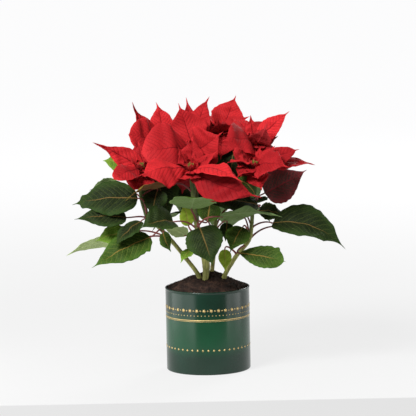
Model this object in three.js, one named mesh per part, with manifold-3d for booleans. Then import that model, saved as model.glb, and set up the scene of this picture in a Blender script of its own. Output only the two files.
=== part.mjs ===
// A poinsettia in a lacquered tin pot.
//
// Millimetres, +Z up. The origin is the centre of the pot's flat underside, +X points to the right
// and +Y to the back. The plant is four leafy stems in a mound of soil. Each stem forks, and each
// fork ends in a bloom: red bracts on a small receptacle round a bunch of yellow-green flower buds.
// Bracts and leaves are thin blades that follow one formula, in bladePoint.

import * as THREE from 'three';
import { mergeVertices } from 'three/addons/utils/BufferGeometryUtils.js';
import Module from 'manifold-3d';

const wasm = await Module();
wasm.setup();

// ---------------------------------------------------------------- driving dimensions

const GAP = 0.3; // clearance between pieces that touch
const CUT_GAP = 0.35; // the same where one piece is cut by its neighbour
const BLADE_THICKNESS = 0.8;
const ROOT_HALF_WIDTH = 1.2; // half the width of a blade where it starts

const POT = {
  radius: 60,
  height: 119,
  wall: 1,
  floor: 1.4,
  beadRadius: 1,
  cornerRadius: 2,
  segments: 36,
};

const SOIL = {
  crown: 16.5, // height of the mound above the rim
  edgeDrop: 1.2, // how far below the rim the mound meets the wall
  lumps: 16,
  lumpHeight: 2.4,
  heap: [8, 20, 7, 450], // x, y, height and squared spread of the highest place
  rings: 4,
  segments: 24,
  seed: 7,
};

const STEM_SIDES = 6;
const STEM_IN_SOIL = 30; // length of stem that stands in the soil
const PETIOLE_RADIUS = 1.2;
const PETIOLE_STEPS = 2;

const RECEPTACLE = { radius: 5.6, topRadius: 4.6, height: 12, sides: 6 };
const BUDS = { count: 5, radius: 2, height: 4, spread: 4.1, domeRadius: 5.6, domeHeight: 3 };

// Blade grids: places along the midrib, from root to tip.
const LARGE_GRID = [0, 0.14, 0.37, 0.62, 0.87, 1];
const MEDIUM_GRID = [0, 0.2, 0.5, 0.82, 1];
const SMALL_GRID = [0, 0.3, 0.75, 1];
const LEAF_GRID = [0, 0.09, 0.3, 0.58, 0.85, 1];
const SMALL_LEAF_GRID = [0, 0.15, 0.5, 0.85, 1];

// Outlines: where the blade is widest, how full it is near its root and its tip, and the share of
// its length that is the thin spike of the tip.
const BRACT_OUTLINE = { widest: 0.46, rootFullness: 1.35, tipFullness: 1.2, spike: 0.1 };
const LEAF_OUTLINE = { widest: 0.38, rootFullness: 0.62, tipFullness: 1.3, spike: 0.05 };

const COLOURS = {
  pot: 0x14402f,
  soil: 0x3a2622,
  stem: 0x6f7238,
  leaf: 0x35562a,
  transitional: 0x4c1a22,
  bract: 0xc01f2c,
  buds: 0x9aa53a,
};

// ---------------------------------------------------------------- the plant's plan

// Stems: the points of each axis from the soil up, with the stem's radius at each point.
// A fork leaves its stem at the named point.
const STEMS = {
  left: {
    path: [[-10, -12, 131, 3.2], [-29.5, -14, 162, 3], [-64, -18, 205, 2.9], [-84, -20, 223, 2.8]],
    forks: {
      left: [[-84, -20, 223, 2.8], [-92, -22, 255, 2.3], [-90, -28, 288, 2.1]],
      back_left: [[-84, -20, 223, 2.6], [-86, 6, 258, 2.2], [-72, 34, 296, 2.1], [-64, 45, 316, 2.1]],
    },
  },
  front: {
    path: [[-3, -18, 128, 4], [-1, -20, 150, 5.6], [-6, -27, 180, 4.6], [-13, -35, 211, 4]],
    forks: {
      front: [[-13, -35, 211, 3.6], [-18, -52, 258, 2.6], [-20, -58, 290, 2.3]],
      middle: [[-13, -35, 211, 3.4], [-13, -27, 262, 2.5], [-15, -16, 312, 2.2]],
    },
  },
  back: {
    path: [[7, 10, 133, 3], [11, 12, 169, 2.9], [14, 20, 214, 2.8]],
    forks: {
      back_middle: [[14, 20, 214, 2.7], [22, 38, 272, 2.3], [25, 50, 329, 2.1]],
      back: [[14, 20, 214, 2.7], [0, 58, 250, 2.3], [-18, 90, 292, 2.1]],
    },
  },
  right: {
    path: [[23, -5, 128, 3.4], [42, -10, 163, 3.2], [61, -14, 187, 3], [65.5, -18, 213, 2.8]],
    forks: {
      right_high: [[65.5, -18, 213, 2.7], [68, -10, 268, 2.3], [70, -3, 319, 2.1]],
      right_low: [[65.5, -18, 213, 2.7], [67, -34, 258, 2.3], [68.5, -44, 290, 2.1]],
    },
  },
};

// Blooms: the centre and axis of the receptacle, then the bracts. A placed bract gives its tip,
// width and the way its upper face looks. A ring bract gives azimuth, elevation, length and width.
// The inner bracts follow a spiral of their own.
const BLOOMS = {
  front: {
    centre: [-20, -60, 298],
    axis: [0, -0.5, 0.86],
    inner: { count: 4, start: 20, length: 36 },
    placed: [
      { tip: [-93, -108, 293], width: 54, faces: [0.05, -0.75, 0.66], fold: -0.3, sweep: 0.04,
        widest: 0.54, tipFullness: 0.95 },
      { tip: [80, -104, 259], width: 54, faces: [0, -0.95, 0.3], arch: 0.14, sweep: 0.06 },
      { tip: [53, -128, 284], width: 38, faces: [0.2, -0.6, 0.8], arch: 0.12, wave: [2, 2.5, 0.5] },
      { tip: [-33, -44, 258], width: 35, faces: [-0.3, 0.8, 0.5], grid: MEDIUM_GRID },
      { tip: [-15, -40, 340], width: 36, faces: [0.1, -0.9, 0.2], arch: -0.1, grid: MEDIUM_GRID },
    ],
    ring: [[28, 12, 56, 32], [196, 12, 28, 20]],
  },
  left: {
    centre: [-89, -30, 296],
    axis: [-0.25, -0.4, 0.88],
    inner: { count: 3, start: 95, length: 34 },
    placed: [
      { tip: [-158, -45, 335], width: 34, faces: [-0.2, -0.85, 0.5], arch: -0.08, skew: 0.8, sweep: 0.06,
        widest: 0.3, tipFullness: 2 },
      { tip: [-128, -88, 287], width: 33, faces: [-0.3, -0.85, 0.3], widest: 0.6, tipFullness: 0.45,
        spike: 0.02 },
      { tip: [-101, -66, 315], width: 21, faces: [-0.5, -0.8, 0.2], grid: MEDIUM_GRID },
      { tip: [-100, -54, 266], width: 46, faces: [0, -0.8, 0.6], tipFullness: 0.7, spike: 0.04 },
    ],
    ring: [[100, 22, 52, 32], [150, -20, 60, 39]],
  },
  middle: {
    centre: [-15, -15, 320],
    axis: [0, -0.25, 0.97],
    inner: { count: 3, start: 60, length: 36 },
    placed: [
      { tip: [-92, -48, 318], width: 78, faces: [-0.1, -0.9, 0.4], arch: 0.22, widest: 0.6,
        tipFullness: 0.6, spike: 0.04 },
      { tip: [-36, -5, 384], width: 59, faces: [-0.1, -0.95, 0.3], arch: -0.08 },
      { tip: [27, -50, 347], width: 66, faces: [-0.25, -0.95, 0.15], arch: 0.16, sweep: 0.06 },
      { tip: [-25, 42, 387], width: 26, faces: [0.3, -0.9, 0.2], arch: 0.04 },
      { tip: [8, 50, 383], width: 34, faces: [0.1, -0.85, 0.5], arch: 0.08, sweep: -0.05 },
    ],
    ring: [[170, 14, 60, 39], [320, 4, 50, 34]],
  },
  right_high: {
    centre: [71, -5, 327],
    axis: [0.1, -0.55, 0.83],
    inner: { count: 5, start: 190, length: 38 },
    placed: [
      { tip: [122, -5, 369], width: 31, faces: [-0.1, -0.85, 0.5], arch: 0.06, tipFullness: 0.9 },
      { tip: [23, -48, 333], width: 60, faces: [-0.1, -0.8, 0.6], arch: 0.14 },
      { tip: [66, -42, 299], width: 26, faces: [-0.1, -0.85, 0.5], arch: 0.2, grid: MEDIUM_GRID },
      { tip: [47, -20, 284], width: 42, faces: [-0.2, -0.95, 0.2], grid: MEDIUM_GRID },
      { tip: [73, -40, 346], width: 36, faces: [0, 0.5, 0.85], arch: -0.28, grid: MEDIUM_GRID },
    ],
    ring: [[70, 18, 70, 44], [120, 22, 60, 40], [25, -36, 54, 36]],
  },
  right_low: {
    centre: [69, -48, 298],
    axis: [0.1, -0.5, 0.86],
    inner: { count: 3, start: 40, length: 34 },
    placed: [
      { tip: [119, -85, 298], width: 54, faces: [0, -0.7, 0.7], arch: 0.16 },
      { tip: [135, -20, 316], width: 36, faces: [0.1, -0.7, 0.7], arch: 0.08, tipFullness: 0.7 },
      { tip: [158, 0, 290], width: 31, faces: [0, -0.6, 0.8], arch: 0.1 },
      { tip: [50, -78, 278], width: 31, faces: [-0.4, -0.8, 0.4], arch: 0.14, grid: MEDIUM_GRID },
      { tip: [80, -62, 263], width: 33, faces: [0, -0.9, 0.4], arch: 0.12, grid: MEDIUM_GRID },
    ],
    ring: [[95, 10, 52, 36], [215, 8, 48, 34]],
  },
  back_left: {
    centre: [-64, 46, 324],
    axis: [-0.1, -0.1, 0.99],
    inner: { count: 3, start: 0, length: 34 },
    placed: [
      { tip: [-109, 2, 339], width: 58, faces: [-0.2, -0.9, 0.4], arch: 0.12, widest: 0.62,
        tipFullness: 0.5, spike: 0.04 },
      { tip: [-92, -12, 293], width: 50, faces: [-0.4, -0.85, 0.3], arch: 0.14 },
      { tip: [-102, 30, 383], width: 30, faces: [0.7, -0.7, 0.1], arch: -0.12, spike: 0.2 },
      { tip: [-69, 85, 376], width: 36, faces: [0.1, -0.8, 0.5], arch: 0.06, sweep: 0.06 },
      { tip: [-91, 80, 355], width: 36, faces: [0, -0.8, 0.6], arch: 0.1 },
    ],
    ring: [[25, 10, 62, 40], [190, -36, 60, 38], [145, -30, 66, 42], [100, -4, 72, 44]],
  },
  back_middle: {
    centre: [25, 50, 337],
    axis: [0, 0, 1],
    inner: { count: 2, start: 95, length: 34 },
    placed: [
      { tip: [47, 62, 386], width: 50, faces: [-0.1, -0.95, 0.3], arch: 0.06 },
      { tip: [66, 36, 358], width: 31, faces: [-0.2, -0.8, 0.5], arch: 0.1, grid: MEDIUM_GRID },
      { tip: [23, 2, 300], width: 60, faces: [0, -0.95, 0.2], grid: MEDIUM_GRID },
      { tip: [-10, 28, 334], width: 46, faces: [-0.1, -0.9, 0.3], grid: MEDIUM_GRID },
      { tip: [28, 14, 358], width: 40, faces: [0.1, -0.85, 0.3], grid: MEDIUM_GRID },
    ],
    ring: [[8, 4, 78, 46], [58, -6, 80, 46], [112, 10, 70, 44], [190, 20, 56, 37]],
  },
  back: {
    centre: [-20, 94, 300],
    axis: [-0.1, 0.4, 0.91],
    inner: { count: 3, start: 50, length: 34 },
    placed: [],
    ring: [[25, 0, 76, 46], [75, -12, 82, 48], [122, -6, 80, 48], [165, 6, 74, 44], [270, 34, 44, 30]],
  },
};

// Leaves: the stem and the height at which the stalk leaves it, then the blade's root and tip.
const LEAVES = {
  left_1: { stem: 'left', at: 222, root: [-96, -32, 252], tip: [-190, -22, 243], width: 56,
    faces: [-0.1, -0.8, 0.6], arch: 0.1, lobes: [[0.84, 1, 0.2], [0.84, -1, 0.18]] },
  left_2: { stem: 'left', at: 219, root: [-112, -38, 228], tip: [-186, -46, 233], width: 38,
    faces: [-0.05, -0.7, 0.7], arch: 0.08 },
  left_3: { stem: 'left', at: 204, root: [-79, -45, 198], tip: [-163, -78, 160], width: 48,
    faces: [-0.1, -0.75, 0.65], arch: 0.06, lobes: [[0.16, -1, 0.2]] },
  left_4: { stem: 'left', at: 212, root: [-92, -45, 221], tip: [-129, -72, 189], width: 36,
    faces: [-0.6, -0.6, 0.45], arch: 0.08 },
  left_5: { stem: 'left', at: 190, root: [-116, 4, 184], tip: [-203, 40, 160], width: 32,
    faces: [0.1, 0.6, 0.8], arch: 0.1 },
  left_6: { stem: 'left', at: 186, root: [-112, -25, 202], tip: [-158, -25, 190], width: 32,
    faces: [-0.1, -0.8, 0.6], arch: 0.14 },
  left_7: { stem: 'left', fork: 'left', at: 252, root: [-67, -18, 260], tip: [-79, -38, 223], width: 36,
    faces: [-0.2, -0.9, 0.3], arch: 0.12, grid: SMALL_LEAF_GRID },
  left_8: { stem: 'left', fork: 'back_left', at: 262, root: [-120, 26, 262], tip: [-167, 46, 254], width: 32,
    faces: [0.2, 0.75, 0.6], arch: 0.1 },
  left_9: { stem: 'left', fork: 'left', at: 268, root: [-107, -4, 296], tip: [-146, 12, 301], width: 30,
    faces: [-0.2, -0.7, 0.7], arch: 0.1, grid: SMALL_LEAF_GRID },
  left_10: { stem: 'left', at: 196, root: [-61, -30, 202], tip: [-50, -46, 176], width: 20,
    faces: [-0.5, -0.8, 0.3], arch: 0.1, grid: SMALL_LEAF_GRID },
  front_1: { stem: 'front', at: 205, root: [-46, -58, 221], tip: [-93, -84, 216], width: 54,
    faces: [-0.1, -0.7, 0.7], fold: 0.45, arch: 0.14 },
  front_2: { stem: 'front', at: 208, root: [-9, -70, 214], tip: [9, -98, 162], width: 54,
    faces: [0, -0.95, 0.35], arch: 0.16, rootFullness: 0.4 },
  front_3: { stem: 'front', at: 209, root: [20, -70, 229], tip: [108, -90, 229], width: 26,
    faces: [0.05, 0.55, 0.83], fold: 0.2, arch: 0.08, wave: [2, 3, 0.4] },
  front_4: { stem: 'front', fork: 'front', at: 216, root: [-20, -78, 242], tip: [-13, -145, 266], width: 66,
    faces: [0, 0.6, 0.8], arch: 0.08 },
  front_5: { stem: 'front', fork: 'front', at: 262, root: [-45, -68, 276], tip: [-112, -95, 257], width: 40,
    faces: [-0.1, 0.38, 0.92], arch: 0.12 },
  front_6: { stem: 'front', at: 192, root: [-28, -30, 196], tip: [-60, -48, 206], width: 30,
    faces: [-0.2, 0.5, 0.85], arch: 0.1, grid: SMALL_LEAF_GRID },
  front_7: { stem: 'front', fork: 'front', at: 218, root: [2, -45, 219], tip: [8, -58, 258], width: 34,
    faces: [0, -0.9, 0.3], arch: -0.1, grid: SMALL_LEAF_GRID },
  front_8: { stem: 'front', at: 190, root: [-26, -42, 210], tip: [-35, -44, 242], width: 22,
    faces: [0.2, -0.95, 0.2], arch: 0.1, grid: SMALL_LEAF_GRID },
  front_9: { stem: 'front', at: 176, root: [-19, -44, 180], tip: [-37, -66, 163], width: 20,
    faces: [-0.3, -0.6, 0.75], arch: 0.12, grid: SMALL_LEAF_GRID },
  right_1: { stem: 'right', at: 204, root: [95, -20, 211], tip: [198, -36, 173], width: 68,
    faces: [0.1, -0.6, 0.8], fold: 0.35, arch: 0.19, lobes: [[0.7, 1, 0.14]] },
  right_2: { stem: 'right', at: 187, root: [102, 2, 203], tip: [170, 24, 196], width: 46,
    faces: [0.1, -0.5, 0.85], arch: 0.12 },
  right_3: { stem: 'right', at: 178, root: [46, -34, 171], tip: [112, -60, 161], width: 36,
    faces: [0.05, -0.85, 0.5], arch: 0.06, widest: 0.62, tipFullness: 0.5, lobes: [[0.8, -1, 0.25]] },
  right_4: { stem: 'right', at: 190, root: [52, -34, 208], tip: [33, -58, 175], width: 36,
    faces: [-0.2, -0.9, 0.35], arch: 0.14, grid: SMALL_LEAF_GRID },
  right_5: { stem: 'right', at: 192, root: [49, -14, 221], tip: [12, -34, 219], width: 34,
    faces: [0.3, 0.65, 0.7], arch: 0.12 },
  right_6: { stem: 'right', fork: 'right_low', at: 236, root: [76, -52, 252], tip: [45, -60, 282], width: 30,
    faces: [0.4, -0.7, 0.6], arch: 0.26 },
  right_7: { stem: 'right', at: 165, root: [26, -31, 176], tip: [26, -46, 146], width: 19,
    faces: [0, -0.9, 0.4], arch: 0.06, grid: SMALL_LEAF_GRID },
  right_8: { stem: 'right', fork: 'right_high', at: 228, root: [76, -6, 226], tip: [112, -2, 213], width: 34,
    faces: [0, -0.6, 0.8], arch: 0.14 },
  right_9: { stem: 'right', fork: 'right_high', at: 240, root: [85, 12, 250], tip: [146, 16, 282], width: 51,
    faces: [0, -0.9, 0.3], arch: -0.08, widest: 0.32, rootFullness: 0.5, colour: 'transitional' },
  right_10: { stem: 'right', fork: 'right_low', at: 226, root: [74, -46, 241], tip: [0, -62, 243], width: 44,
    faces: [0, -0.6, 0.8], arch: 0.12 },
  left_11: { stem: 'left', fork: 'back_left', at: 272, root: [-76, 14, 283], tip: [-50, 0, 219], width: 60,
    faces: [0.1, -0.9, 0.4], arch: 0.12 },
  back_2: { stem: 'back', fork: 'back_middle', at: 262, root: [31, 20, 322], tip: [40, 6, 258], width: 58,
    faces: [-0.1, -0.9, 0.4], arch: 0.1 },
  back_3: { stem: 'back', fork: 'back', at: 236, root: [-10, 44, 264], tip: [-31, 24, 214], width: 62,
    faces: [0, -0.9, 0.4], arch: 0.1 },
  right_11: { stem: 'right', fork: 'right_high', at: 262, root: [60, 14, 306], tip: [54, 10, 248], width: 58,
    faces: [0, -0.95, 0.3], arch: 0.1 },
  back_1: { stem: 'back', at: 196, root: [30, -4, 210], tip: [27, -22, 186], width: 20,
    faces: [0, -0.9, 0.3], arch: 0.1, grid: SMALL_LEAF_GRID },
};

// Plain leaves round the back, fused to their stems: stem and fork, azimuth, height on the stem,
// rise of the stalk, length and droop of the blade.
const REAR_LEAVES = [
  ['back', undefined, 48, 200, 24, 90, 34],
  ['back', undefined, 92, 206, 20, 96, 48],
  ['back', undefined, 138, 190, 28, 90, 34],
  ['back', 'back', 118, 240, 12, 92, 48],
  ['back', 'back_middle', 62, 250, 14, 96, 48],
  ['back', 'back_middle', 28, 262, 10, 70, 30],
  ['back', 'back_middle', 150, 290, 6, 80, 50],
  ['left', 'back_left', 128, 240, 16, 86, 34],
  ['left', 'back_left', 60, 272, 8, 80, 50],
  ['front', 'middle', 40, 280, 6, 70, 46],
  ['right', undefined, 112, 206, 16, 84, 30],
  ['right', undefined, 94, 210, 22, 80, 20],
];
const REAR_PETIOLE = 34;
const REAR_WIDTH = 54;

// How far a blade may be bent clear of its neighbours: rings of eight directions round its place.
const SWING_RINGS = 8;
const SWING_STEP = THREE.MathUtils.degToRad(4);
const SWING_DIRECTIONS = 8;
const SWING_SCALES = [1, 0.85, 0.7, 0.55];
const OUTER_START = 0.2; // bracts of one bloom only cross each other below this share of their length

// ---------------------------------------------------------------- helpers

function vector(values) {
  return new THREE.Vector3(values[0], values[1], values[2]);
}

// Repeatable random numbers from 0 to 1.
function randomFrom(seed) {
  let state = seed;
  return () => {
    state = (state * 16807) % 2147483647;
    return state / 2147483647;
  };
}

function solidFrom(geometry) {
  const bare = geometry.clone();
  bare.deleteAttribute('normal');
  bare.deleteAttribute('uv');
  const merged = mergeVertices(bare, 1e-4);
  const vertProperties = new Float32Array(merged.attributes.position.array);
  const triVerts = new Uint32Array(merged.index.array);
  return new wasm.Manifold(new wasm.Mesh({ numProp: 3, vertProperties, triVerts }));
}

function geometryFrom(solid) {
  const mesh = solid.getMesh();
  const geometry = new THREE.BufferGeometry();
  geometry.setAttribute('position', new THREE.BufferAttribute(mesh.vertProperties, 3));
  geometry.setIndex(new THREE.BufferAttribute(mesh.triVerts, 1));
  geometry.computeVertexNormals();
  return geometry;
}

function join(solids) {
  return solids.reduce((whole, solid) => whole.add(solid));
}

// The largest body of a solid, without the loose scraps that a cut may leave.
function mainBody(solid) {
  const bodies = solid.decompose();
  return bodies.reduce((largest, body) => (body.volume() > largest.volume() ? body : largest));
}

function closedMesh(points, triangles) {
  const geometry = new THREE.BufferGeometry();
  const coordinates = points.flatMap((point) => point.toArray());
  geometry.setAttribute('position', new THREE.Float32BufferAttribute(coordinates, 3));
  geometry.setIndex(triangles);
  return geometry;
}

// A round limb along a smooth curve: a ring of points at each step, closed at both ends.
function limb(points, radiusAt, sides, steps, grow) {
  const curve = new THREE.CatmullRomCurve3(points);
  const frames = curve.computeFrenetFrames(steps, false);
  const rings = [];
  for (let i = 0; i <= steps; i += 1) {
    const beyond = { 0: -grow, [steps]: grow }[i] ?? 0;
    const centre = curve.getPointAt(i / steps).addScaledVector(frames.tangents[i], beyond);
    const radius = radiusAt(i / steps) + grow;
    for (let k = 0; k < sides; k += 1) {
      const angle = (2 * Math.PI * k) / sides;
      const point = centre.clone();
      point.addScaledVector(frames.normals[i], radius * Math.cos(angle));
      point.addScaledVector(frames.binormals[i], radius * Math.sin(angle));
      rings.push(point);
    }
  }
  const triangles = [];
  for (let i = 0; i < steps; i += 1) {
    for (let k = 0; k < sides; k += 1) {
      const a = i * sides + k;
      const b = i * sides + ((k + 1) % sides);
      triangles.push(a, b, b + sides, a, b + sides, a + sides);
    }
  }
  for (let k = 1; k < sides - 1; k += 1) {
    const last = steps * sides;
    triangles.push(0, k + 1, k, last, last + k, last + k + 1);
  }
  return closedMesh(rings, triangles);
}

// ---------------------------------------------------------------- blades

const BLADE_DEFAULTS = {
  arch: 0.1, // bulge of the midrib towards the upper face, as a share of the length
  skew: 0, // moves that bulge towards the tip
  sweep: 0, // sideways bow of the midrib, as a share of the length
  fold: 0.12, // angle of each half against the midrib's plane, radians; negative folds down
  cup: -0.12, // curl of the edges, as a share of the half width
  wave: [1.5, 1.2, 0], // waves along the edge, their height and phase
  twist: 0, // turn of the tip against the root, radians
  lobes: [], // pointed lobes: place along the midrib, side, height as a share of the half width
};
const LOBE_RISE = 0.09; // length of a lobe's long side and short side, as shares of the blade
const LOBE_FALL = 0.03;
const STALK_RISE = 0.18; // height of a stalk's bow, as a share of its length
const WAVE_SHIFT = 1.9; // phase between the two edges of a waved blade

// Adds the blade's own axes: along, the way its upper face looks, and across.
function withAxes(blade) {
  const chord = blade.tip.clone().sub(blade.root);
  const length = chord.length();
  const along = chord.clone().divideScalar(length);
  const up = blade.faces.clone().addScaledVector(along, -blade.faces.dot(along)).normalize();
  const across = new THREE.Vector3().crossVectors(along, up);
  return { ...blade, length, along, up, across };
}

function halfWidth(blade, t, side) {
  const body = Math.min(t / (1 - blade.spike), 1);
  const power = Math.log(0.5) / Math.log(blade.widest);
  const fullness = blade.rootFullness + (blade.tipFullness - blade.rootFullness) * body;
  let half = (blade.width / 2) * Math.max(Math.sin(Math.PI * body ** power), 0) ** fullness;
  for (const [place, lobeSide, height] of blade.lobes) {
    const distance = t < place ? (place - t) / LOBE_RISE : (t - place) / LOBE_FALL;
    if (lobeSide === side && distance < 1) half += (blade.width / 2) * height * (1 - distance);
  }
  return Math.max(half, ROOT_HALF_WIDTH * (1 - t));
}

function midribPoint(blade, t) {
  const bulge = 4 * t * (1 - t) * blade.length;
  const point = blade.root.clone().addScaledVector(blade.along, t * blade.length);
  point.addScaledVector(blade.up, bulge * blade.arch * (1 + blade.skew * (2 * t - 1)));
  point.addScaledVector(blade.across, bulge * blade.sweep);
  return point;
}

// A point of the blade's middle surface: t runs from root to tip, s from edge to edge, -1 to 1.
function bladePoint(blade, t, s, grow = 0) {
  const step = 1e-3;
  const forward = midribPoint(blade, Math.min(t + step, 1)).sub(midribPoint(blade, Math.max(t - step, 0)));
  forward.normalize();
  const up = blade.up.clone().addScaledVector(forward, -blade.up.dot(forward)).normalize();
  up.applyAxisAngle(forward, blade.twist * t);
  const across = new THREE.Vector3().crossVectors(forward, up);
  const half = halfWidth(blade, t, Math.sign(s)) + grow;
  const [count, height, phase] = blade.wave;
  const waved = Math.sin(2 * Math.PI * count * t + phase + (s > 0 ? WAVE_SHIFT : 0));
  const rise = Math.min(1, (2 * half) / blade.width);
  const curl = blade.cup * half + height * rise * waved;
  const lift = Math.abs(s) * half * Math.sin(blade.fold) + curl * s * s;
  const point = midribPoint(blade, t);
  point.addScaledVector(across, s * half * Math.cos(blade.fold));
  point.addScaledVector(up, lift);
  return point;
}

// The stations of a blade's grid, with those that its lobes need.
function stationsOf(blade) {
  const stations = [...blade.grid];
  for (const [place] of blade.lobes) {
    stations.push(place - LOBE_RISE, place, place + LOBE_FALL);
  }
  stations.sort((a, b) => a - b);
  return stations.filter((t, i) => i === 0 || t - stations[i - 1] > 0.012);
}

// The stalk of a leaf, from its stem into the root of its blade: four-sided rings on a smooth
// curve, each with its corners at the right edge, top, left edge and underside of the blade.
function stalkRings(leaf, grow) {
  const reach = leaf.hinge.distanceTo(leaf.root);
  const start = leaf.hinge.clone().lerp(leaf.root, 0.3);
  start.z += STALK_RISE * reach;
  const end = leaf.root.clone().addScaledVector(leaf.along, -0.35 * reach);
  const curve = new THREE.CubicBezierCurve3(leaf.hinge, start, end, leaf.root);
  const rings = [];
  for (let i = 0; i < PETIOLE_STEPS; i += 1) {
    const tangent = curve.getTangent(i / PETIOLE_STEPS);
    const side = leaf.across.clone().addScaledVector(tangent, -leaf.across.dot(tangent)).normalize();
    const up = new THREE.Vector3().crossVectors(side, tangent);
    const centre = curve.getPoint(i / PETIOLE_STEPS);
    const radius = PETIOLE_RADIUS + grow;
    for (const [x, y] of [[1, 0], [0, 1], [-1, 0], [0, -1]]) {
      rings.push(centre.clone().addScaledVector(side, x * radius).addScaledVector(up, y * radius));
    }
  }
  return rings;
}

// A blade as a closed body of even thickness, two columns wide and split into the same triangles
// on both faces. A leaf's stalk is joined to the root of its blade. The body may start further out.
function bladeSolid(blade, grow = 0, start = 0) {
  const stations = stationsOf(blade).filter((t) => t >= start);
  const rows = stations.length - 1; // the last station is the single point of the tip
  const middle = [];
  for (let i = 0; i < rows; i += 1) {
    for (const s of [-1, 0, 1]) middle.push(bladePoint(blade, stations[i], s, grow));
  }
  const tip = middle.push(blade.tip.clone().addScaledVector(blade.along, grow)) - 1;

  const upper = [];
  for (let a = 0; a < 3 * (rows - 1); a += 3) {
    upper.push([a, a + 1, a + 3], [a + 1, a + 4, a + 3]);
    upper.push([a + 1, a + 2, a + 5], [a + 1, a + 5, a + 4]);
  }
  upper.push([tip - 3, tip - 2, tip], [tip - 2, tip - 1, tip]);

  const normals = middle.map(() => new THREE.Vector3());
  for (const [a, b, c] of upper) {
    const side = new THREE.Vector3().subVectors(middle[b], middle[a]);
    const normal = side.cross(new THREE.Vector3().subVectors(middle[c], middle[a]));
    for (const corner of [a, b, c]) normals[corner].add(normal);
  }
  const half = BLADE_THICKNESS / 2 + grow;
  const top = middle.map((p, i) => p.clone().addScaledVector(normals[i].normalize(), half));
  const bottom = middle.map((p, i) => p.clone().addScaledVector(normals[i], -half));
  const points = [...top, ...bottom];

  const under = middle.length;
  const triangles = [];
  for (const [a, b, c] of upper) triangles.push(a, b, c, a + under, c + under, b + under);
  const rim = [2];
  for (let i = 1; i < rows; i += 1) rim.push(3 * i + 2);
  rim.push(tip);
  for (let i = rows - 1; i >= 0; i -= 1) rim.push(3 * i);
  for (let i = 0; i < rim.length - 1; i += 1) {
    const [a, b] = [rim[i], rim[i + 1]];
    triangles.push(a, a + under, b + under, a, b + under, b);
  }

  // The root: closed across, or stitched to the last ring of the stalk.
  if (!blade.stalked || start > 0) {
    triangles.push(0, under, under + 1, 0, under + 1, 1, 1, under + 1, under + 2, 1, under + 2, 2);
    return solidFrom(closedMesh(points, triangles));
  }
  const first = points.length;
  points.push(...stalkRings(blade, grow));
  for (let a = first; a < points.length - 4; a += 4) {
    for (let k = 0; k < 4; k += 1) {
      const b = a + ((k + 1) % 4);
      triangles.push(a + k, b + 4, b, a + k, a + k + 4, b + 4);
    }
  }
  triangles.push(first, first + 1, first + 2, first, first + 2, first + 3);
  const [right, above, left, below] = [4, 3, 2, 1].map((k) => points.length - k);
  triangles.push(right, under + 2, 2, right, 2, above, above, 2, 1, above, 1, 0, above, 0, left);
  triangles.push(left, 0, under, left, under, below, below, under, under + 1);
  triangles.push(below, under + 1, under + 2, below, under + 2, right);
  return solidFrom(closedMesh(points, triangles));
}

// The places that a blade may take: its own, then rings round it, then the same with a shorter blade.
function* swings() {
  for (const scale of SWING_SCALES) {
    yield { scale, pitch: 0, yaw: 0 };
    for (let ring = 1; ring <= SWING_RINGS; ring += 1) {
      for (let k = 0; k < SWING_DIRECTIONS; k += 1) {
        const angle = (2 * Math.PI * k) / SWING_DIRECTIONS;
        yield { scale, pitch: ring * SWING_STEP * Math.cos(angle), yaw: ring * SWING_STEP * Math.sin(angle) };
      }
    }
  }
}

// A blade turned about its hinge point, with all its axes, and shortened from its root.
function swung(blade, { scale, pitch, yaw }) {
  const turn = (direction) => {
    const turned = direction.clone().applyAxisAngle(blade.up, yaw);
    return turned.applyAxisAngle(blade.across, pitch);
  };
  const root = turn(blade.root.clone().sub(blade.hinge)).add(blade.hinge);
  const along = turn(blade.along);
  const length = blade.length * scale;
  const tip = root.clone().addScaledVector(along, length);
  const up = turn(blade.up);
  const across = turn(blade.across);
  return { ...blade, root, tip, along, up, across, length, width: blade.width * scale };
}

function boxesMeet(a, b) {
  return [0, 1, 2].every((i) => a.min[i] <= b.max[i] && b.min[i] <= a.max[i]);
}

// Everything that stands already, by the node it belongs to.
const standing = [];

function stand(node, solid) {
  standing.push({ node, solid, box: solid.boundingBox() });
}

function isClear(solid, others) {
  const box = solid.boundingBox();
  return others.every((other) => !boxesMeet(box, other.box) || other.solid.intersect(solid).isEmpty());
}

// Bends a blade clear of the other nodes, and its outer part clear of the blades of its own node.
// Where the plant is too dense for it, there is none.
function growBlade(blade, node, ignoredNodes, solidOf) {
  const own = standing.filter((other) => other.node === node);
  const others = standing.filter((other) => other.node !== node && !ignoredNodes.includes(other.node));
  for (const swing of swings()) {
    const candidate = swung(blade, swing);
    if (isClear(bladeSolid(candidate, GAP, OUTER_START), own) && isClear(solidOf(candidate, GAP), others)) {
      stand(node, solidOf(candidate, 0));
      return candidate;
    }
  }
  return undefined;
}

// ---------------------------------------------------------------- pot and soil

function potGeometry() {
  const { radius, height, wall, floor, beadRadius, cornerRadius, segments } = POT;
  const profile = [new THREE.Vector2(0, 0)];
  const corner = new THREE.Vector2(radius - cornerRadius, cornerRadius);
  for (let i = 0; i <= 2; i += 1) {
    const angle = -Math.PI / 2 + (Math.PI / 4) * i;
    const turned = new THREE.Vector2(Math.cos(angle), Math.sin(angle));
    profile.push(turned.multiplyScalar(cornerRadius).add(corner));
  }
  const bead = new THREE.Vector2(radius - wall / 2, height - beadRadius);
  for (let i = 0; i <= 4; i += 1) {
    const angle = -Math.PI / 3 + (Math.PI * 5 * i) / 12;
    const turned = new THREE.Vector2(Math.cos(angle), Math.sin(angle));
    profile.push(turned.multiplyScalar(beadRadius).add(bead));
  }
  profile.push(new THREE.Vector2(radius - wall, height - 2.4 * beadRadius));
  profile.push(new THREE.Vector2(radius - wall, floor));
  profile.push(new THREE.Vector2(0, floor));
  const geometry = new THREE.LatheGeometry(profile, segments);
  geometry.rotateX(Math.PI / 2);
  return geometry;
}

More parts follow.
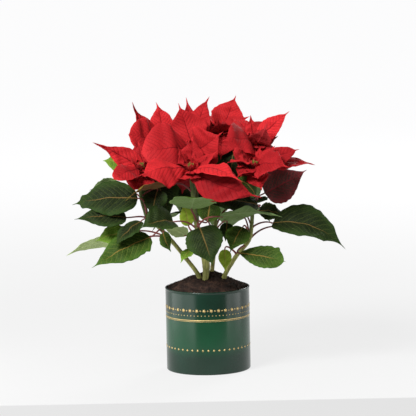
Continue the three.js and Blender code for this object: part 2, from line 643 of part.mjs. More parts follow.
// The mound: a low cone with a round crown and scattered lumps.
function soilGeometry() {
  const { crown, edgeDrop, heap, lumps, lumpHeight, rings, segments, seed } = SOIL;
  const radius = POT.radius - POT.wall - 2 * GAP - POT.beadRadius / 2;
  const edge = POT.height - edgeDrop;
  const floor = POT.floor + GAP;
  const random = randomFrom(seed);
  const bumps = [heap];
  for (let i = 0; i < lumps; i += 1) {
    const angle = 2 * Math.PI * random();
    const reach = radius * 0.9 * Math.sqrt(random());
    bumps.push([reach * Math.cos(angle), reach * Math.sin(angle), lumpHeight * (random() - 0.3), 90]);
  }
  const heightAt = (x, y) => {
    const share = Math.min(Math.hypot(x, y) / radius, 1);
    let z = edge + (crown + edgeDrop) * (1 - share) ** 0.9 * (1 + 0.25 * share);
    for (const [bx, by, height, spread] of bumps) {
      z += height * Math.exp(-((x - bx) ** 2 + (y - by) ** 2) / spread) * (1 - share ** 4);
    }
    return z;
  };
  const points = [new THREE.Vector3(0, 0, heightAt(0, 0))];
  for (let i = 1; i <= rings; i += 1) {
    const reach = (radius * i) / rings;
    for (let k = 0; k < segments; k += 1) {
      const angle = (2 * Math.PI * (k + 0.5 * (i % 2))) / segments;
      const x = reach * Math.cos(angle);
      const y = reach * Math.sin(angle);
      points.push(new THREE.Vector3(x, y, heightAt(x, y)));
    }
  }
  const outer = 1 + (rings - 1) * segments;
  for (let k = 0; k < segments; k += 1) {
    const { x, y } = points[outer + k];
    points.push(new THREE.Vector3(x, y, floor));
  }
  const triangles = [];
  for (let k = 0; k < segments; k += 1) {
    const next = (k + 1) % segments;
    triangles.push(0, 1 + k, 1 + next);
    for (let i = 0; i < rings; i += 1) {
      const a = 1 + i * segments + k;
      const b = 1 + i * segments + next;
      triangles.push(a, a + segments, b + segments, a, b + segments, b);
    }
    const base = 1 + rings * segments;
    if (k > 0 && k < segments - 1) triangles.push(base, base + next, base + k);
  }
  return closedMesh(points, triangles);
}

// ---------------------------------------------------------------- stems

// The axis of a stem from the soil up, or of one of its forks.
function stemPoints(stem, fork) {
  return (fork ? STEMS[stem].forks[fork] : STEMS[stem].path).map(vector);
}

function taper(path) {
  return (share) => {
    const place = share * (path.length - 1);
    const i = Math.min(Math.floor(place), path.length - 2);
    return path[i][3] + (path[i + 1][3] - path[i][3]) * (place - i);
  };
}

function stemSolid(stem, grow = 0) {
  const { path, forks } = STEMS[stem];
  const [x, y, z, radius] = path[0];
  const buried = [[x, y, z - STEM_IN_SOIL, 0.9 * radius], ...path];
  const limbs = [buried, ...Object.values(forks)].map((run) => {
    const steps = 2 * (run.length - 1);
    return solidFrom(limb(run.map(vector), taper(run), STEM_SIDES, steps, grow));
  });
  return join(limbs);
}

// The point of a stem's axis at a given height.
function axisPoint(stem, fork, height) {
  const curve = new THREE.CatmullRomCurve3(stemPoints(stem, fork));
  let low = 0;
  let high = 1;
  while (high - low > 1e-4) {
    const middle = (low + high) / 2;
    if (curve.getPoint(middle).z < height) low = middle;
    else high = middle;
  }
  return curve.getPoint(low);
}

// ---------------------------------------------------------------- blooms

function receptacleSolid(bloom) {
  const { radius, topRadius, height, sides } = RECEPTACLE;
  const profile = [[0, -height], [radius * 0.7, -height], [radius, -height * 0.6], [topRadius, 0], [0, 0]];
  const geometry = new THREE.LatheGeometry(profile.map(([r, z]) => new THREE.Vector2(r, z)), sides);
  geometry.applyQuaternion(new THREE.Quaternion().setFromUnitVectors(THREE.Object3D.DEFAULT_UP, bloom.axis));
  geometry.translate(bloom.centre.x, bloom.centre.y, bloom.centre.z);
  return solidFrom(geometry);
}

// A bunch of flower buds on a low dome, standing just clear of the receptacle's top.
function budsSolid(bloom, grow = 0) {
  const { count, radius, height, spread, domeRadius, domeHeight } = BUDS;
  const [low, high] = [-grow, domeHeight + grow];
  const profile = [[0, low], [domeRadius + grow, low], [0.8 * domeRadius + grow, high], [0, high]];
  const pieces = [new THREE.LatheGeometry(profile.map(([r, z]) => new THREE.Vector2(r, z)), 6)];
  for (let i = 0; i < count; i += 1) {
    const bud = new THREE.OctahedronGeometry(1);
    bud.scale(radius + grow, height + grow, radius + grow);
    if (i > 0) {
      bud.rotateZ(-0.35);
      bud.translate(spread, 0, 0);
      bud.rotateY((2 * Math.PI * i) / (count - 1));
    }
    bud.translate(0, domeHeight + (i > 0 ? 0.4 : 1.6), 0);
    pieces.push(bud);
  }
  const turn = new THREE.Quaternion().setFromUnitVectors(THREE.Object3D.DEFAULT_UP, bloom.axis);
  const seat = bloom.centre.clone().addScaledVector(bloom.axis, CUT_GAP);
  return join(pieces.map((piece) => {
    piece.applyQuaternion(turn);
    piece.translate(seat.x, seat.y, seat.z);
    return solidFrom(piece);
  }));
}

// The direction with a given azimuth and elevation, in degrees.
function heading(azimuth, elevation) {
  const a = THREE.MathUtils.degToRad(azimuth);
  const e = THREE.MathUtils.degToRad(elevation);
  return new THREE.Vector3(Math.cos(a) * Math.cos(e), Math.sin(a) * Math.cos(e), Math.sin(e));
}

const BRACT_DEPTH = 5; // how far below the receptacle's top the outer bracts grow
const INNER_DEPTH = 2;
const GOLDEN_ANGLE = 137.5;

function bract(bloom, values, depth) {
  const centre = bloom.centre.clone().addScaledVector(bloom.axis, -depth);
  const towards = values.tip.clone().sub(centre).normalize();
  const root = centre.addScaledVector(towards, RECEPTACLE.radius * 0.35);
  const blade = { ...BLADE_DEFAULTS, ...BRACT_OUTLINE, grid: LARGE_GRID, ...values, root, hinge: root };
  return withAxes(blade);
}

function placedBracts(bloom) {
  return bloom.placed.map((values) => {
    const placed = { ...values, tip: vector(values.tip), faces: vector(values.faces) };
    return bract(bloom, placed, BRACT_DEPTH);
  });
}

function ringBracts(bloom) {
  return bloom.ring.map(([azimuth, elevation, length, width]) => {
    const tip = heading(azimuth, elevation).multiplyScalar(length).add(bloom.centre);
    const faces = heading(azimuth, elevation + 90);
    return bract(bloom, { tip, faces, width, arch: 0.13 }, BRACT_DEPTH);
  });
}

// Young bracts round the buds: each steeper and shorter than the one before.
function innerBracts(bloom) {
  const { count, start, length } = bloom.inner;
  const blades = [];
  const turn = new THREE.Quaternion().setFromUnitVectors(new THREE.Vector3(0, 0, 1), bloom.axis);
  for (let i = 0; i < count; i += 1) {
    const azimuth = start + i * GOLDEN_ANGLE;
    const elevation = 24 + 7 * i;
    const reach = length * (1.25 - 0.12 * i);
    const tip = heading(azimuth, elevation).applyQuaternion(turn).multiplyScalar(reach).add(bloom.centre);
    const faces = heading(azimuth, elevation + 90).applyQuaternion(turn);
    const young = { tip, faces, width: 0.52 * reach, arch: -0.04, grid: SMALL_GRID };
    blades.push(bract(bloom, young, INNER_DEPTH));
  }
  return blades;
}

// ---------------------------------------------------------------- leaves

function leafFrom(values) {
  const hinge = axisPoint(values.stem, values.fork, values.at);
  const [tip, faces, root] = [values.tip, values.faces, values.root].map(vector);
  const leaf = { ...BLADE_DEFAULTS, ...LEAF_OUTLINE, grid: LEAF_GRID, ...values, stalked: true };
  return withAxes({ ...leaf, tip, faces, root, hinge });
}

function rearLeafFrom([stem, fork, azimuth, at, rise, length, droop]) {
  const out = heading(azimuth, 0);
  const root = axisPoint(stem, fork, at).addScaledVector(out, REAR_PETIOLE);
  root.z += rise;
  const tip = root.clone().addScaledVector(out, length);
  tip.z -= droop;
  const faces = heading(azimuth, 62);
  return leafFrom({ stem, fork, at, root: root.toArray(), tip: tip.toArray(), faces: faces.toArray(),
    width: REAR_WIDTH, arch: 0.14, grid: SMALL_LEAF_GRID });
}

// ---------------------------------------------------------------- the assembly

const group = new THREE.Group();

function addMesh(name, geometry, colour, roughness = 0.6, metalness = 0) {
  const material = new THREE.MeshStandardMaterial({ color: COLOURS[colour], roughness, metalness });
  const mesh = new THREE.Mesh(geometry, material);
  mesh.name = name;
  group.add(mesh);
}

// Pot and soil, with a plain hole for each stem.
const potSolid = solidFrom(potGeometry());
stand('pot', potSolid);
addMesh('pot', geometryFrom(potSolid), 'pot', 0.25, 0.3);

const stems = {};
const clearances = {};
for (const stem of Object.keys(STEMS)) {
  stems[stem] = stemSolid(stem);
  clearances[stem] = stemSolid(stem, CUT_GAP);
}
const soil = Object.values(clearances).reduce((left, hole) => left.subtract(hole), solidFrom(soilGeometry()));
stand('soil', soil);
addMesh('soil', geometryFrom(soil), 'soil', 0.95);
for (const [stem, solid] of Object.entries(stems)) stand(`stem_${stem}`, solid);

const stemOfBloom = {};
for (const [stem, { forks }] of Object.entries(STEMS)) {
  for (const fork of Object.keys(forks)) stemOfBloom[fork] = stem;
}

// Receptacles and buds stand before any blade grows.
const blooms = Object.entries(BLOOMS).map(([name, values]) => {
  const bloom = { ...values, name, centre: vector(values.centre), axis: vector(values.axis).normalize() };
  bloom.solids = [receptacleSolid(bloom)];
  stand(`bloom_${name}`, bloom.solids[0]);
  bloom.buds = budsSolid(bloom);
  stand(`buds_${name}`, bloom.buds);
  return bloom;
});

// Blades grow in the order of their prominence: placed bracts, leaves, then the rings inwards.
function growBracts(bloom, blades) {
  const node = `bloom_${bloom.name}`;
  const own = [`buds_${bloom.name}`, `stem_${stemOfBloom[bloom.name]}`];
  for (const blade of blades) {
    const grown = growBlade(blade, node, own, bladeSolid);
    if (grown) bloom.solids.push(bladeSolid(grown));
  }
}

function growLeaf(name, leaf) {
  const node = `leaf_${name}`;
  const cutSolid = (blade, grow) => mainBody(bladeSolid(blade, grow).subtract(clearances[leaf.stem]));
  const grown = growBlade(leaf, node, [`stem_${leaf.stem}`], cutSolid);
  addMesh(node, geometryFrom(cutSolid(grown, 0)), leaf.colour ?? 'leaf', 0.5);
}

function growRearLeaf(leaf) {
  const grown = growBlade(leaf, `stem_${leaf.stem}`, [], bladeSolid);
  if (grown) stems[leaf.stem] = stems[leaf.stem].add(bladeSolid(grown));
}

for (const bloom of blooms) growBracts(bloom, placedBracts(bloom));
for (const [name, values] of Object.entries(LEAVES)) growLeaf(name, leafFrom(values));
for (const bloom of blooms) growBracts(bloom, ringBracts(bloom));
for (const values of REAR_LEAVES) growRearLeaf(rearLeafFrom(values));
for (const bloom of blooms) growBracts(bloom, innerBracts(bloom));

for (const [stem, solid] of Object.entries(stems)) addMesh(`stem_${stem}`, geometryFrom(solid), 'stem', 0.55);
for (const bloom of blooms) {
  const clearance = clearances[stemOfBloom[bloom.name]].add(budsSolid(bloom, CUT_GAP));
  const bracts = mainBody(join(bloom.solids).subtract(clearance));
  addMesh(`bloom_${bloom.name}`, geometryFrom(bracts), 'bract', 0.55);
  addMesh(`buds_${bloom.name}`, geometryFrom(bloom.buds), 'buds', 0.5);
}

export default group;
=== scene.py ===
# A poinsettia in a lacquered tin pot: the finer form and the finishes of its solids.
#
# Metres, +Z up, the origin at the centre of the pot's flat underside. The plan of the plant is in
# millimetres, as in the part's source. Every leaf, stem and bloom is made again as a finer piece on
# the outline of its solid, with relief, veins and a finish of its own.

import copy
import math

import bpy
import numpy as np
from mathutils import Matrix, Vector


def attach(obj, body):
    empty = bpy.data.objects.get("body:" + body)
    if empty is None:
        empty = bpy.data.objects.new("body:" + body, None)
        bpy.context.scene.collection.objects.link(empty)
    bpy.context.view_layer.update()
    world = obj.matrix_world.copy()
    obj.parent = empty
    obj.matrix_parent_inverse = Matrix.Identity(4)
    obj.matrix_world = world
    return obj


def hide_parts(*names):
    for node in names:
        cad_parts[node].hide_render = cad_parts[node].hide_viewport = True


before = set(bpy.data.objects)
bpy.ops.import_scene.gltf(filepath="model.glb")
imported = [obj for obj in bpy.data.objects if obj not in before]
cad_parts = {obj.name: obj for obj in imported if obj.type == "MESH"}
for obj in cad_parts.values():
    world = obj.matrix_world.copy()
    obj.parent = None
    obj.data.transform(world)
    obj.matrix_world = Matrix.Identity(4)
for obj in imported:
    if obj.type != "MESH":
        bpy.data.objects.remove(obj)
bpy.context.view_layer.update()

MM = 0.001

# ---------------------------------------------------------------- the plant's plan

def row(*sizes, **shape):
    """One row of the plan: its sizes, and then what is special about its shape."""
    return (*sizes, shape)


# Stems: the points of each axis from the soil up, with the stem's radius at each point.
STEMS = {
    "left": {
        "path": [(-10, -12, 131, 3.2), (-29.5, -14, 162, 3), (-64, -18, 205, 2.9), (-84, -20, 223, 2.8)],
        "forks": {
            "left": [(-84, -20, 223, 2.8), (-92, -22, 255, 2.3), (-90, -28, 288, 2.1)],
            "back_left": [(-84, -20, 223, 2.6), (-86, 6, 258, 2.2), (-72, 34, 296, 2.1), (-64, 45, 316, 2.1)],
        },
    },
    "front": {
        "path": [(-3, -18, 128, 4), (-1, -20, 150, 5.6), (-6, -27, 180, 4.6), (-13, -35, 211, 4)],
        "forks": {
            "front": [(-13, -35, 211, 3.6), (-18, -52, 258, 2.6), (-20, -58, 290, 2.3)],
            "middle": [(-13, -35, 211, 3.4), (-13, -27, 262, 2.5), (-15, -16, 312, 2.2)],
        },
    },
    "back": {
        "path": [(7, 10, 133, 3), (11, 12, 169, 2.9), (14, 20, 214, 2.8)],
        "forks": {
            "back_middle": [(14, 20, 214, 2.7), (22, 38, 272, 2.3), (25, 50, 329, 2.1)],
            "back": [(14, 20, 214, 2.7), (0, 58, 250, 2.3), (-18, 90, 292, 2.1)],
        },
    },
    "right": {
        "path": [(23, -5, 128, 3.4), (42, -10, 163, 3.2), (61, -14, 187, 3), (65.5, -18, 213, 2.8)],
        "forks": {
            "right_high": [(65.5, -18, 213, 2.7), (68, -10, 268, 2.3), (70, -3, 319, 2.1)],
            "right_low": [(65.5, -18, 213, 2.7), (67, -34, 258, 2.3), (68.5, -44, 290, 2.1)],
        },
    },
}

# Blooms: centre and axis of the receptacle, the spiral of young bracts (count, azimuth of the first,
# length), the placed bracts (tip, width, the way the upper face looks, shape) and the ring bracts
# (azimuth, elevation, length, width).
# A tone set in a bract's shape is painted light and shade: low for bracts that lie in shadow, high for bracts
# that catch the light.
BLOOMS = {
    "front": {
        "centre": (-20, -60, 298), "axis": (0, -0.5, 0.86), "inner": (4, 20, 36),
        "placed": [
            row((-93, -108, 293), 54, (0.05, -0.75, 0.66),
                fold=-0.3, sweep=0.04, widest=0.54, tip_fullness=0.95, tone=0.95),
            row((80, -104, 259), 54, (0, -0.95, 0.3), arch=0.14, sweep=0.06, tone=0.1),
            row((53, -128, 284), 38, (0.2, -0.6, 0.8), arch=0.12, wave=(2, 2.5, 0.5), tone=1.1),
            row((-33, -44, 258), 35, (-0.3, 0.8, 0.5)),
            row((-15, -40, 340), 36, (0.1, -0.9, 0.2), arch=-0.1),
        ],
        "ring": [(28, 12, 56, 32), (196, 12, 28, 20)],
    },
    "left": {
        "centre": (-89, -30, 296), "axis": (-0.25, -0.4, 0.88), "inner": (3, 95, 34),
        "placed": [
            row((-158, -45, 335), 34, (-0.2, -0.85, 0.5),
                arch=-0.08, skew=0.8, sweep=0.06, widest=0.3, tip_fullness=2, tone=0.7),
            row((-128, -88, 287), 33, (-0.3, -0.85, 0.3), widest=0.6, tip_fullness=0.45, spike=0.02),
            row((-101, -66, 315), 21, (-0.5, -0.8, 0.2)),
            row((-100, -54, 266), 46, (0, -0.8, 0.6), tip_fullness=0.7, spike=0.04),
        ],
        "ring": [(100, 22, 52, 32), (150, -20, 60, 39)],
    },
    "middle": {
        "centre": (-15, -15, 320), "axis": (0, -0.25, 0.97), "inner": (3, 60, 36),
        "placed": [
            row((-92, -48, 318), 78, (-0.1, -0.9, 0.4),
                arch=0.22, widest=0.6, tip_fullness=0.6, spike=0.04, tone=0.45),
            row((-36, -5, 384), 59, (-0.1, -0.95, 0.3), arch=-0.08, tone=0.6),
            row((27, -50, 347), 66, (-0.25, -0.95, 0.15), arch=0.16, sweep=0.06, tone=0.5),
            row((-25, 42, 387), 26, (0.3, -0.9, 0.2), arch=0.04),
            row((8, 50, 383), 34, (0.1, -0.85, 0.5), arch=0.08, sweep=-0.05),
        ],
        "ring": [(170, 14, 60, 39), (320, 4, 50, 34)],
    },
    "right_high": {
        "centre": (71, -5, 327), "axis": (0.1, -0.55, 0.83), "inner": (5, 190, 38),
        "placed": [
            row((122, -5, 369), 31, (-0.1, -0.85, 0.5), arch=0.06, tip_fullness=0.9, tone=1.2),
            row((23, -48, 333), 60, (-0.1, -0.8, 0.6), arch=0.14, tone=0.4),
            row((66, -42, 299), 26, (-0.1, -0.85, 0.5), arch=0.2),
            row((47, -20, 284), 42, (-0.2, -0.95, 0.2)),
            row((73, -40, 346), 36, (0, 0.5, 0.85), arch=-0.28),
        ],
        "ring": [(70, 18, 70, 44), (120, 22, 60, 40), (25, -36, 54, 36)],
    },
    "right_low": {
        "centre": (69, -48, 298), "axis": (0.1, -0.5, 0.86), "inner": (3, 40, 34),
        "placed": [
            row((119, -85, 298), 54, (0, -0.7, 0.7), arch=0.16, tone=0.35),
            row((135, -20, 316), 36, (0.1, -0.7, 0.7), arch=0.08, tip_fullness=0.7),
            row((158, 0, 290), 31, (0, -0.6, 0.8)),
            row((50, -78, 278), 31, (-0.4, -0.8, 0.4), arch=0.14),
            row((80, -62, 263), 33, (0, -0.9, 0.4), arch=0.12),
        ],
        "ring": [(95, 10, 52, 36), (215, 8, 48, 34)],
    },
    "back_left": {
        "centre": (-64, 46, 324), "axis": (-0.1, -0.1, 0.99), "inner": (3, 0, 34),
        "placed": [
            row((-109, 2, 339), 58, (-0.2, -0.9, 0.4),
                arch=0.12, widest=0.62, tip_fullness=0.5, spike=0.04, tone=0.6),
            row((-92, -12, 293), 50, (-0.4, -0.85, 0.3), arch=0.14),
            row((-102, 30, 383), 30, (0.7, -0.7, 0.1), arch=-0.12, spike=0.2),
            row((-69, 85, 376), 36, (0.1, -0.8, 0.5), arch=0.06, sweep=0.06),
            row((-91, 80, 355), 36, (0, -0.8, 0.6)),
        ],
        "ring": [(25, 10, 62, 40), (190, -36, 60, 38), (145, -30, 66, 42), (100, -4, 72, 44)],
    },
    "back_middle": {
        "centre": (25, 50, 337), "axis": (0, 0, 1), "inner": (2, 95, 34),
        "placed": [
            row((47, 62, 386), 50, (-0.1, -0.95, 0.3), arch=0.06, tone=0.8),
            row((66, 36, 358), 31, (-0.2, -0.8, 0.5)),
            row((23, 2, 300), 60, (0, -0.95, 0.2)),
            row((-10, 28, 334), 46, (-0.1, -0.9, 0.3)),
            row((28, 14, 358), 40, (0.1, -0.85, 0.3)),
        ],
        "ring": [(8, 4, 78, 46), (58, -6, 80, 46), (112, 10, 70, 44), (190, 20, 56, 37)],
    },
    "back": {
        "centre": (-20, 94, 300), "axis": (-0.1, 0.4, 0.91), "inner": (3, 50, 34),
        "placed": [],
        "ring": [(25, 0, 76, 46), (75, -12, 82, 48), (122, -6, 80, 48), (165, 6, 74, 44), (270, 34, 44, 30)],
    },
}

# Leaves: the height at which the stalk leaves the stem that the name starts with, root and tip of the
# blade, width, the way the upper face looks, the stem's fork where it grows on one, and shape.
# A tone set in a leaf's shape is painted light and shade, as for the bracts.
LEAVES = {
    "left_1": row(222, (-96, -32, 252), (-190, -22, 243), 56, (-0.1, -0.8, 0.6),
                  lobes=[(0.84, 1, 0.2), (0.84, -1, 0.18)]),
    "left_2": row(219, (-112, -38, 228), (-186, -46, 233), 38, (-0.05, -0.7, 0.7), arch=0.08),
    "left_3": row(204, (-79, -45, 198), (-163, -78, 160), 48, (-0.1, -0.75, 0.65),
                  arch=0.06, lobes=[(0.16, -1, 0.2)]),
    "left_4": row(212, (-92, -45, 221), (-129, -72, 189), 36, (-0.6, -0.6, 0.45), arch=0.08),
    "left_5": row(190, (-116, 4, 184), (-203, 40, 160), 32, (0.1, 0.6, 0.8)),
    "left_6": row(186, (-112, -25, 202), (-158, -25, 190), 32, (-0.1, -0.8, 0.6), arch=0.14),
    "left_7": row(252, (-67, -18, 260), (-79, -38, 223), 36, (-0.2, -0.9, 0.3), fork="left", arch=0.12),
    "left_8": row(262, (-120, 26, 262), (-167, 46, 254), 32, (0.2, 0.75, 0.6), fork="back_left"),
    "left_9": row(268, (-107, -4, 296), (-146, 12, 301), 30, (-0.2, -0.7, 0.7), fork="left"),
    "left_10": row(196, (-61, -30, 202), (-50, -46, 176), 20, (-0.5, -0.8, 0.3)),
    "left_11": row(272, (-76, 14, 283), (-50, 0, 219), 60, (0.1, -0.9, 0.4), fork="back_left", arch=0.12),
    "front_1": row(205, (-46, -58, 221), (-93, -84, 216), 54, (-0.1, -0.7, 0.7),
                   fold=0.45, arch=0.14, tone=1),
    "front_2": row(208, (-9, -70, 214), (9, -98, 162), 54, (0, -0.95, 0.35),
                   arch=0.16, root_fullness=0.4, tone=0.9),
    "front_3": row(209, (20, -70, 229), (108, -90, 229), 26, (0.05, 0.55, 0.83),
                   fold=0.2, arch=0.08, wave=(2, 3, 0.4)),
    "front_4": row(216, (-20, -78, 242), (-13, -145, 266), 66, (0, 0.6, 0.8), fork="front", arch=0.08),
    "front_5": row(262, (-45, -68, 276), (-112, -95, 257), 40, (-0.1, 0.38, 0.92), fork="front", arch=0.12),
    "front_6": row(192, (-28, -30, 196), (-60, -48, 206), 30, (-0.2, 0.5, 0.85)),
    "front_7": row(218, (2, -45, 219), (8, -58, 258), 34, (0, -0.9, 0.3), fork="front", arch=-0.1),
    "front_8": row(190, (-26, -42, 210), (-35, -44, 242), 22, (0.2, -0.95, 0.2), tone=1.4),
    "front_9": row(176, (-19, -44, 180), (-37, -66, 163), 20, (-0.3, -0.6, 0.75), arch=0.12, tone=1.2),
    "right_1": row(204, (95, -20, 211), (198, -36, 173), 68, (0.1, -0.6, 0.8),
                   fold=0.35, arch=0.19, lobes=[(0.7, 1, 0.14)]),
    "right_2": row(187, (102, 2, 203), (170, 24, 196), 46, (0.1, -0.5, 0.85), arch=0.12),
    "right_3": row(178, (46, -34, 171), (112, -60, 161), 36, (0.05, -0.85, 0.5),
                   arch=0.06, widest=0.62, tip_fullness=0.5, lobes=[(0.8, -1, 0.25)]),
    "right_4": row(190, (52, -34, 208), (33, -58, 175), 36, (-0.2, -0.9, 0.35), arch=0.14),
    "right_5": row(192, (49, -14, 221), (12, -34, 219), 34, (0.3, 0.65, 0.7), arch=0.12),
    "right_6": row(236, (76, -52, 252), (45, -60, 282), 30, (0.4, -0.7, 0.6), fork="right_low", arch=0.26),
    "right_7": row(165, (26, -31, 176), (26, -46, 146), 19, (0, -0.9, 0.4), arch=0.06, tone=1.4),
    "right_8": row(228, (76, -6, 226), (112, -2, 213), 34, (0, -0.6, 0.8), fork="right_high", arch=0.14),
    "right_9": row(240, (85, 12, 250), (146, 16, 282), 51, (0, -0.9, 0.3),
                   fork="right_high", arch=-0.08, widest=0.32, root_fullness=0.5),
    "right_10": row(226, (74, -46, 241), (0, -62, 243), 44, (0, -0.6, 0.8), fork="right_low", arch=0.12),
    "right_11": row(262, (60, 14, 306), (54, 10, 248), 58, (0, -0.95, 0.3), fork="right_high"),
    "back_1": row(196, (30, -4, 210), (27, -22, 186), 20, (0, -0.9, 0.3)),
    "back_2": row(262, (31, 20, 322), (40, 6, 258), 58, (-0.1, -0.9, 0.4), fork="back_middle"),
    "back_3": row(236, (-10, 44, 264), (-31, 24, 214), 62, (0, -0.9, 0.4), fork="back"),
}

# Leaves round the back, grown into their stems: stem and fork, azimuth, height on the stem, rise of
# the stalk, length and droop of the blade.
REAR_LEAVES = [
    ("back", None, 48, 200, 24, 90, 34),
    ("back", None, 92, 206, 20, 96, 48),
    ("back", None, 138, 190, 28, 90, 34),
    ("back", "back", 118, 240, 12, 92, 48),
    ("back", "back_middle", 62, 250, 14, 96, 48),
    ("back", "back_middle", 28, 262, 10, 70, 30),
    ("back", "back_middle", 150, 290, 6, 80, 50),
    ("left", "back_left", 128, 240, 16, 86, 34),
    ("left", "back_left", 60, 272, 8, 80, 50),
    ("front", "middle", 40, 280, 6, 70, 46),
    ("right", None, 112, 206, 16, 84, 30),
    ("right", None, 94, 210, 22, 80, 20),
]
REAR_STALK = 34
REAR_WIDTH = 54
REAR_TILT = 62
REAR_ARCH = 0.14

POT = {"radius": 60, "height": 119, "wall": 1, "floor": 1.4, "bead": 1, "corner": 2}
SOIL = {
    "crown": 16.5, "edge_drop": 1.2, "gap": 0.3, "heap": (8, 20, 7, 450),
    "lumps": 16, "lump_height": 2.4, "lump_sink": 0.3, "lump_reach": 0.9, "lump_spread": 90,
}
SOIL_SEED = 7
STEM_IN_SOIL = 30
STEM_FOOT = 0.9
RECEPTACLE = {"radius": 5.6, "top_radius": 4.6, "height": 12}
STALK_RADIUS = 1.2
STALK_STEPS = 14
STALK_RISE = 0.18
STALK_START, STALK_END = 0.3, 0.35  # how far the stalk runs straight at its ends, as shares of its reach
STALK_IN_BLADE = 4
# Shares of the stalk's radius: at its stem, what it loses on its way, and the flare beside the stem.
STALK_FOOT, STALK_TAPER, STALK_FLARE = 1.15, 0.35, 0.5
STALK_FLARE_FALL = 6

BRACT_OUTLINE = {"widest": 0.46, "root_fullness": 1.35, "tip_fullness": 1.2, "spike": 0.1}
LEAF_OUTLINE = {"widest": 0.38, "root_fullness": 0.62, "tip_fullness": 1.3, "spike": 0.05}
BLADE_SHAPE = {
    "arch": 0.1, "skew": 0, "sweep": 0, "fold": 0.12, "cup": -0.12, "wave": (1.5, 1.2, 0), "lobes": (),
}
ROOT_HALF_WIDTH = 1.2
TIP_TAPER = 11
TIP_TAPER_START = 0.6
LOBE_RISE = 0.09
LOBE_FALL = 0.03
WAVE_SHIFT = 1.9
SOLID_HALF_THICKNESS = 0.4

SWING_RINGS = 8
SWING_STEP = math.radians(4)
SWING_DIRECTIONS = 8
SWING_SCALES = (1, 0.85, 0.7, 0.55)
TIP_TOLERANCE, PAIR_TOLERANCE = 0.04, 0.06


# ---------------------------------------------------------------- geometry helpers

def vec(values):
    return np.array(values, float)


def unit(vectors):
    return vectors / np.linalg.norm(vectors, axis=-1, keepdims=True)


def turned(vector, axis, angle):
    """A vector turned about an axis."""
    kept = vector * math.cos(angle)
    return kept + np.cross(axis, vector) * math.sin(angle) + axis * axis.dot(vector) * (1 - math.cos(angle))


def heading(azimuth, elevation):
    """The direction with a given azimuth and elevation, in degrees."""
    a, e = math.radians(azimuth), math.radians(elevation)
    return vec((math.cos(a) * math.cos(e), math.sin(a) * math.cos(e), math.sin(e)))


def basis(axis):
    """The rotation that takes +Z to an axis, as a matrix."""
    return np.array(Vector((0, 0, 1)).rotation_difference(Vector(axis)).to_matrix())


def spline_point(points, place):
    """A point of the centripetal Catmull-Rom curve through points, at a place from 0 to 1."""
    whole = place * (len(points) - 1)
    i = min(int(whole), len(points) - 2)
    weight = whole - i
    b, c = points[i], points[i + 1]
    a = points[i - 1] if i > 0 else 2 * b - c
    d = points[i + 2] if i + 2 < len(points) else 2 * c - b
    step_a, step_b, step_c = [np.linalg.norm(q - p) ** 0.5 for p, q in ((a, b), (b, c), (c, d))]
    out = ((b - a) / step_a - (c - a) / (step_a + step_b) + (c - b) / step_b) * step_b
    into = ((c - b) / step_b - (d - b) / (step_b + step_c) + (d - c) / step_c) * step_b
    square, cube = weight**2, weight**3
    return b + out * weight + (3 * (c - b) - 2 * out - into) * square + (2 * (b - c) + out + into) * cube


def axis_point(stem, fork, height):
    """The point of a stem's axis at a given height, found by halving."""
    run = STEMS[stem]["forks"][fork] if fork else STEMS[stem]["path"]
    points = [vec(point[:3]) for point in run]
    low, high = 0.0, 1.0
    while high - low > 1e-4:
        middle = (low + high) / 2
        if spline_point(points, middle)[2] < height:
            low = middle
        else:
            high = middle
    return spline_point(points, low)


def random_from(seed):
    """Repeatable random numbers from 0 to 1, the same as the part's own."""
    state = seed
    while True:
        state = (state * 16807) % 2147483647
        yield state / 2147483647


def mesh_points(mesh):
    """The points of a mesh, in millimetres."""
    points = np.zeros(3 * len(mesh.vertices))
    mesh.vertices.foreach_get("co", points)
    return points.reshape(-1, 3) / MM


def new_mesh(name, points, faces):
    """A mesh from points in millimetres."""
    mesh = bpy.data.meshes.new(name)
    mesh.from_pydata((np.array(points) * MM).tolist(), [], faces)
    return mesh


def new_object(name, data):
    """An object in the scene, at the origin."""
    made = bpy.data.objects.new(name, data)
    bpy.context.scene.collection.objects.link(made)
    return made


class Shape:
    """The mesh of one piece, put together from patches in millimetres."""

    def __init__(self, *finishes):
        self.finishes = finishes
        self.points, self.faces, self.slots, self.plans, self.marks = [], [], [], [], []
        self.count = 0

    def add(self, points, faces, finish, plan=None, mark=None):
        """Adds a patch. plan and mark are the per-point values that its finish reads."""
        for values, given in ((self.plans, plan), (self.marks, mark)):
            values.append(np.zeros((len(points), 3)) if given is None else given)
        self.points.append(points)
        self.faces += [[self.count + corner for corner in face] for face in faces]
        self.slots += [self.finishes.index(finish)] * len(faces)
        self.count += len(points)

    def add_mesh(self, mesh, finish):
        """Adds a mesh that is already made."""
        self.add(mesh_points(mesh), [list(face.vertices) for face in mesh.polygons], finish)

    def piece(self, name, slot, nodes):
        """The finished object, which stands for some CAD nodes."""
        mesh = new_mesh(name, np.concatenate(self.points), self.faces)
        for finish in self.finishes:
            mesh.materials.append(finish)
        mesh.polygons.foreach_set("material_index", self.slots)
        mesh.polygons.foreach_set("use_smooth", [True] * len(self.faces))
        for label, values in (("plan", self.plans), ("mark", self.marks)):
            attribute = mesh.attributes.new(label, "FLOAT_VECTOR", "POINT")
            attribute.data.foreach_set("vector", np.concatenate(values).ravel())
        mesh.update()
        piece = new_object(name, mesh)
        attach(piece, "root")
        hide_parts(*nodes)


def grid_faces(rows, columns, first=0, closed=False):
    """Quads between the rows of a grid of points. A closed grid joins its last column to its first."""
    faces = []
    for i in range(rows - 1):
        for j in range(columns if closed else columns - 1):
            a, b = i * columns + j, i * columns + (j + 1) % columns
            faces.append([first + a, first + b, first + b + columns, first + a + columns])
    return faces


def ring_points(profile, sides):
    """Rings of points about +Z, one for each (radius, height) of a profile."""
    angles = np.arange(sides) * 2 * math.pi / sides
    return [(r * math.cos(a), r * math.sin(a), z) for r, z in profile for a in angles]


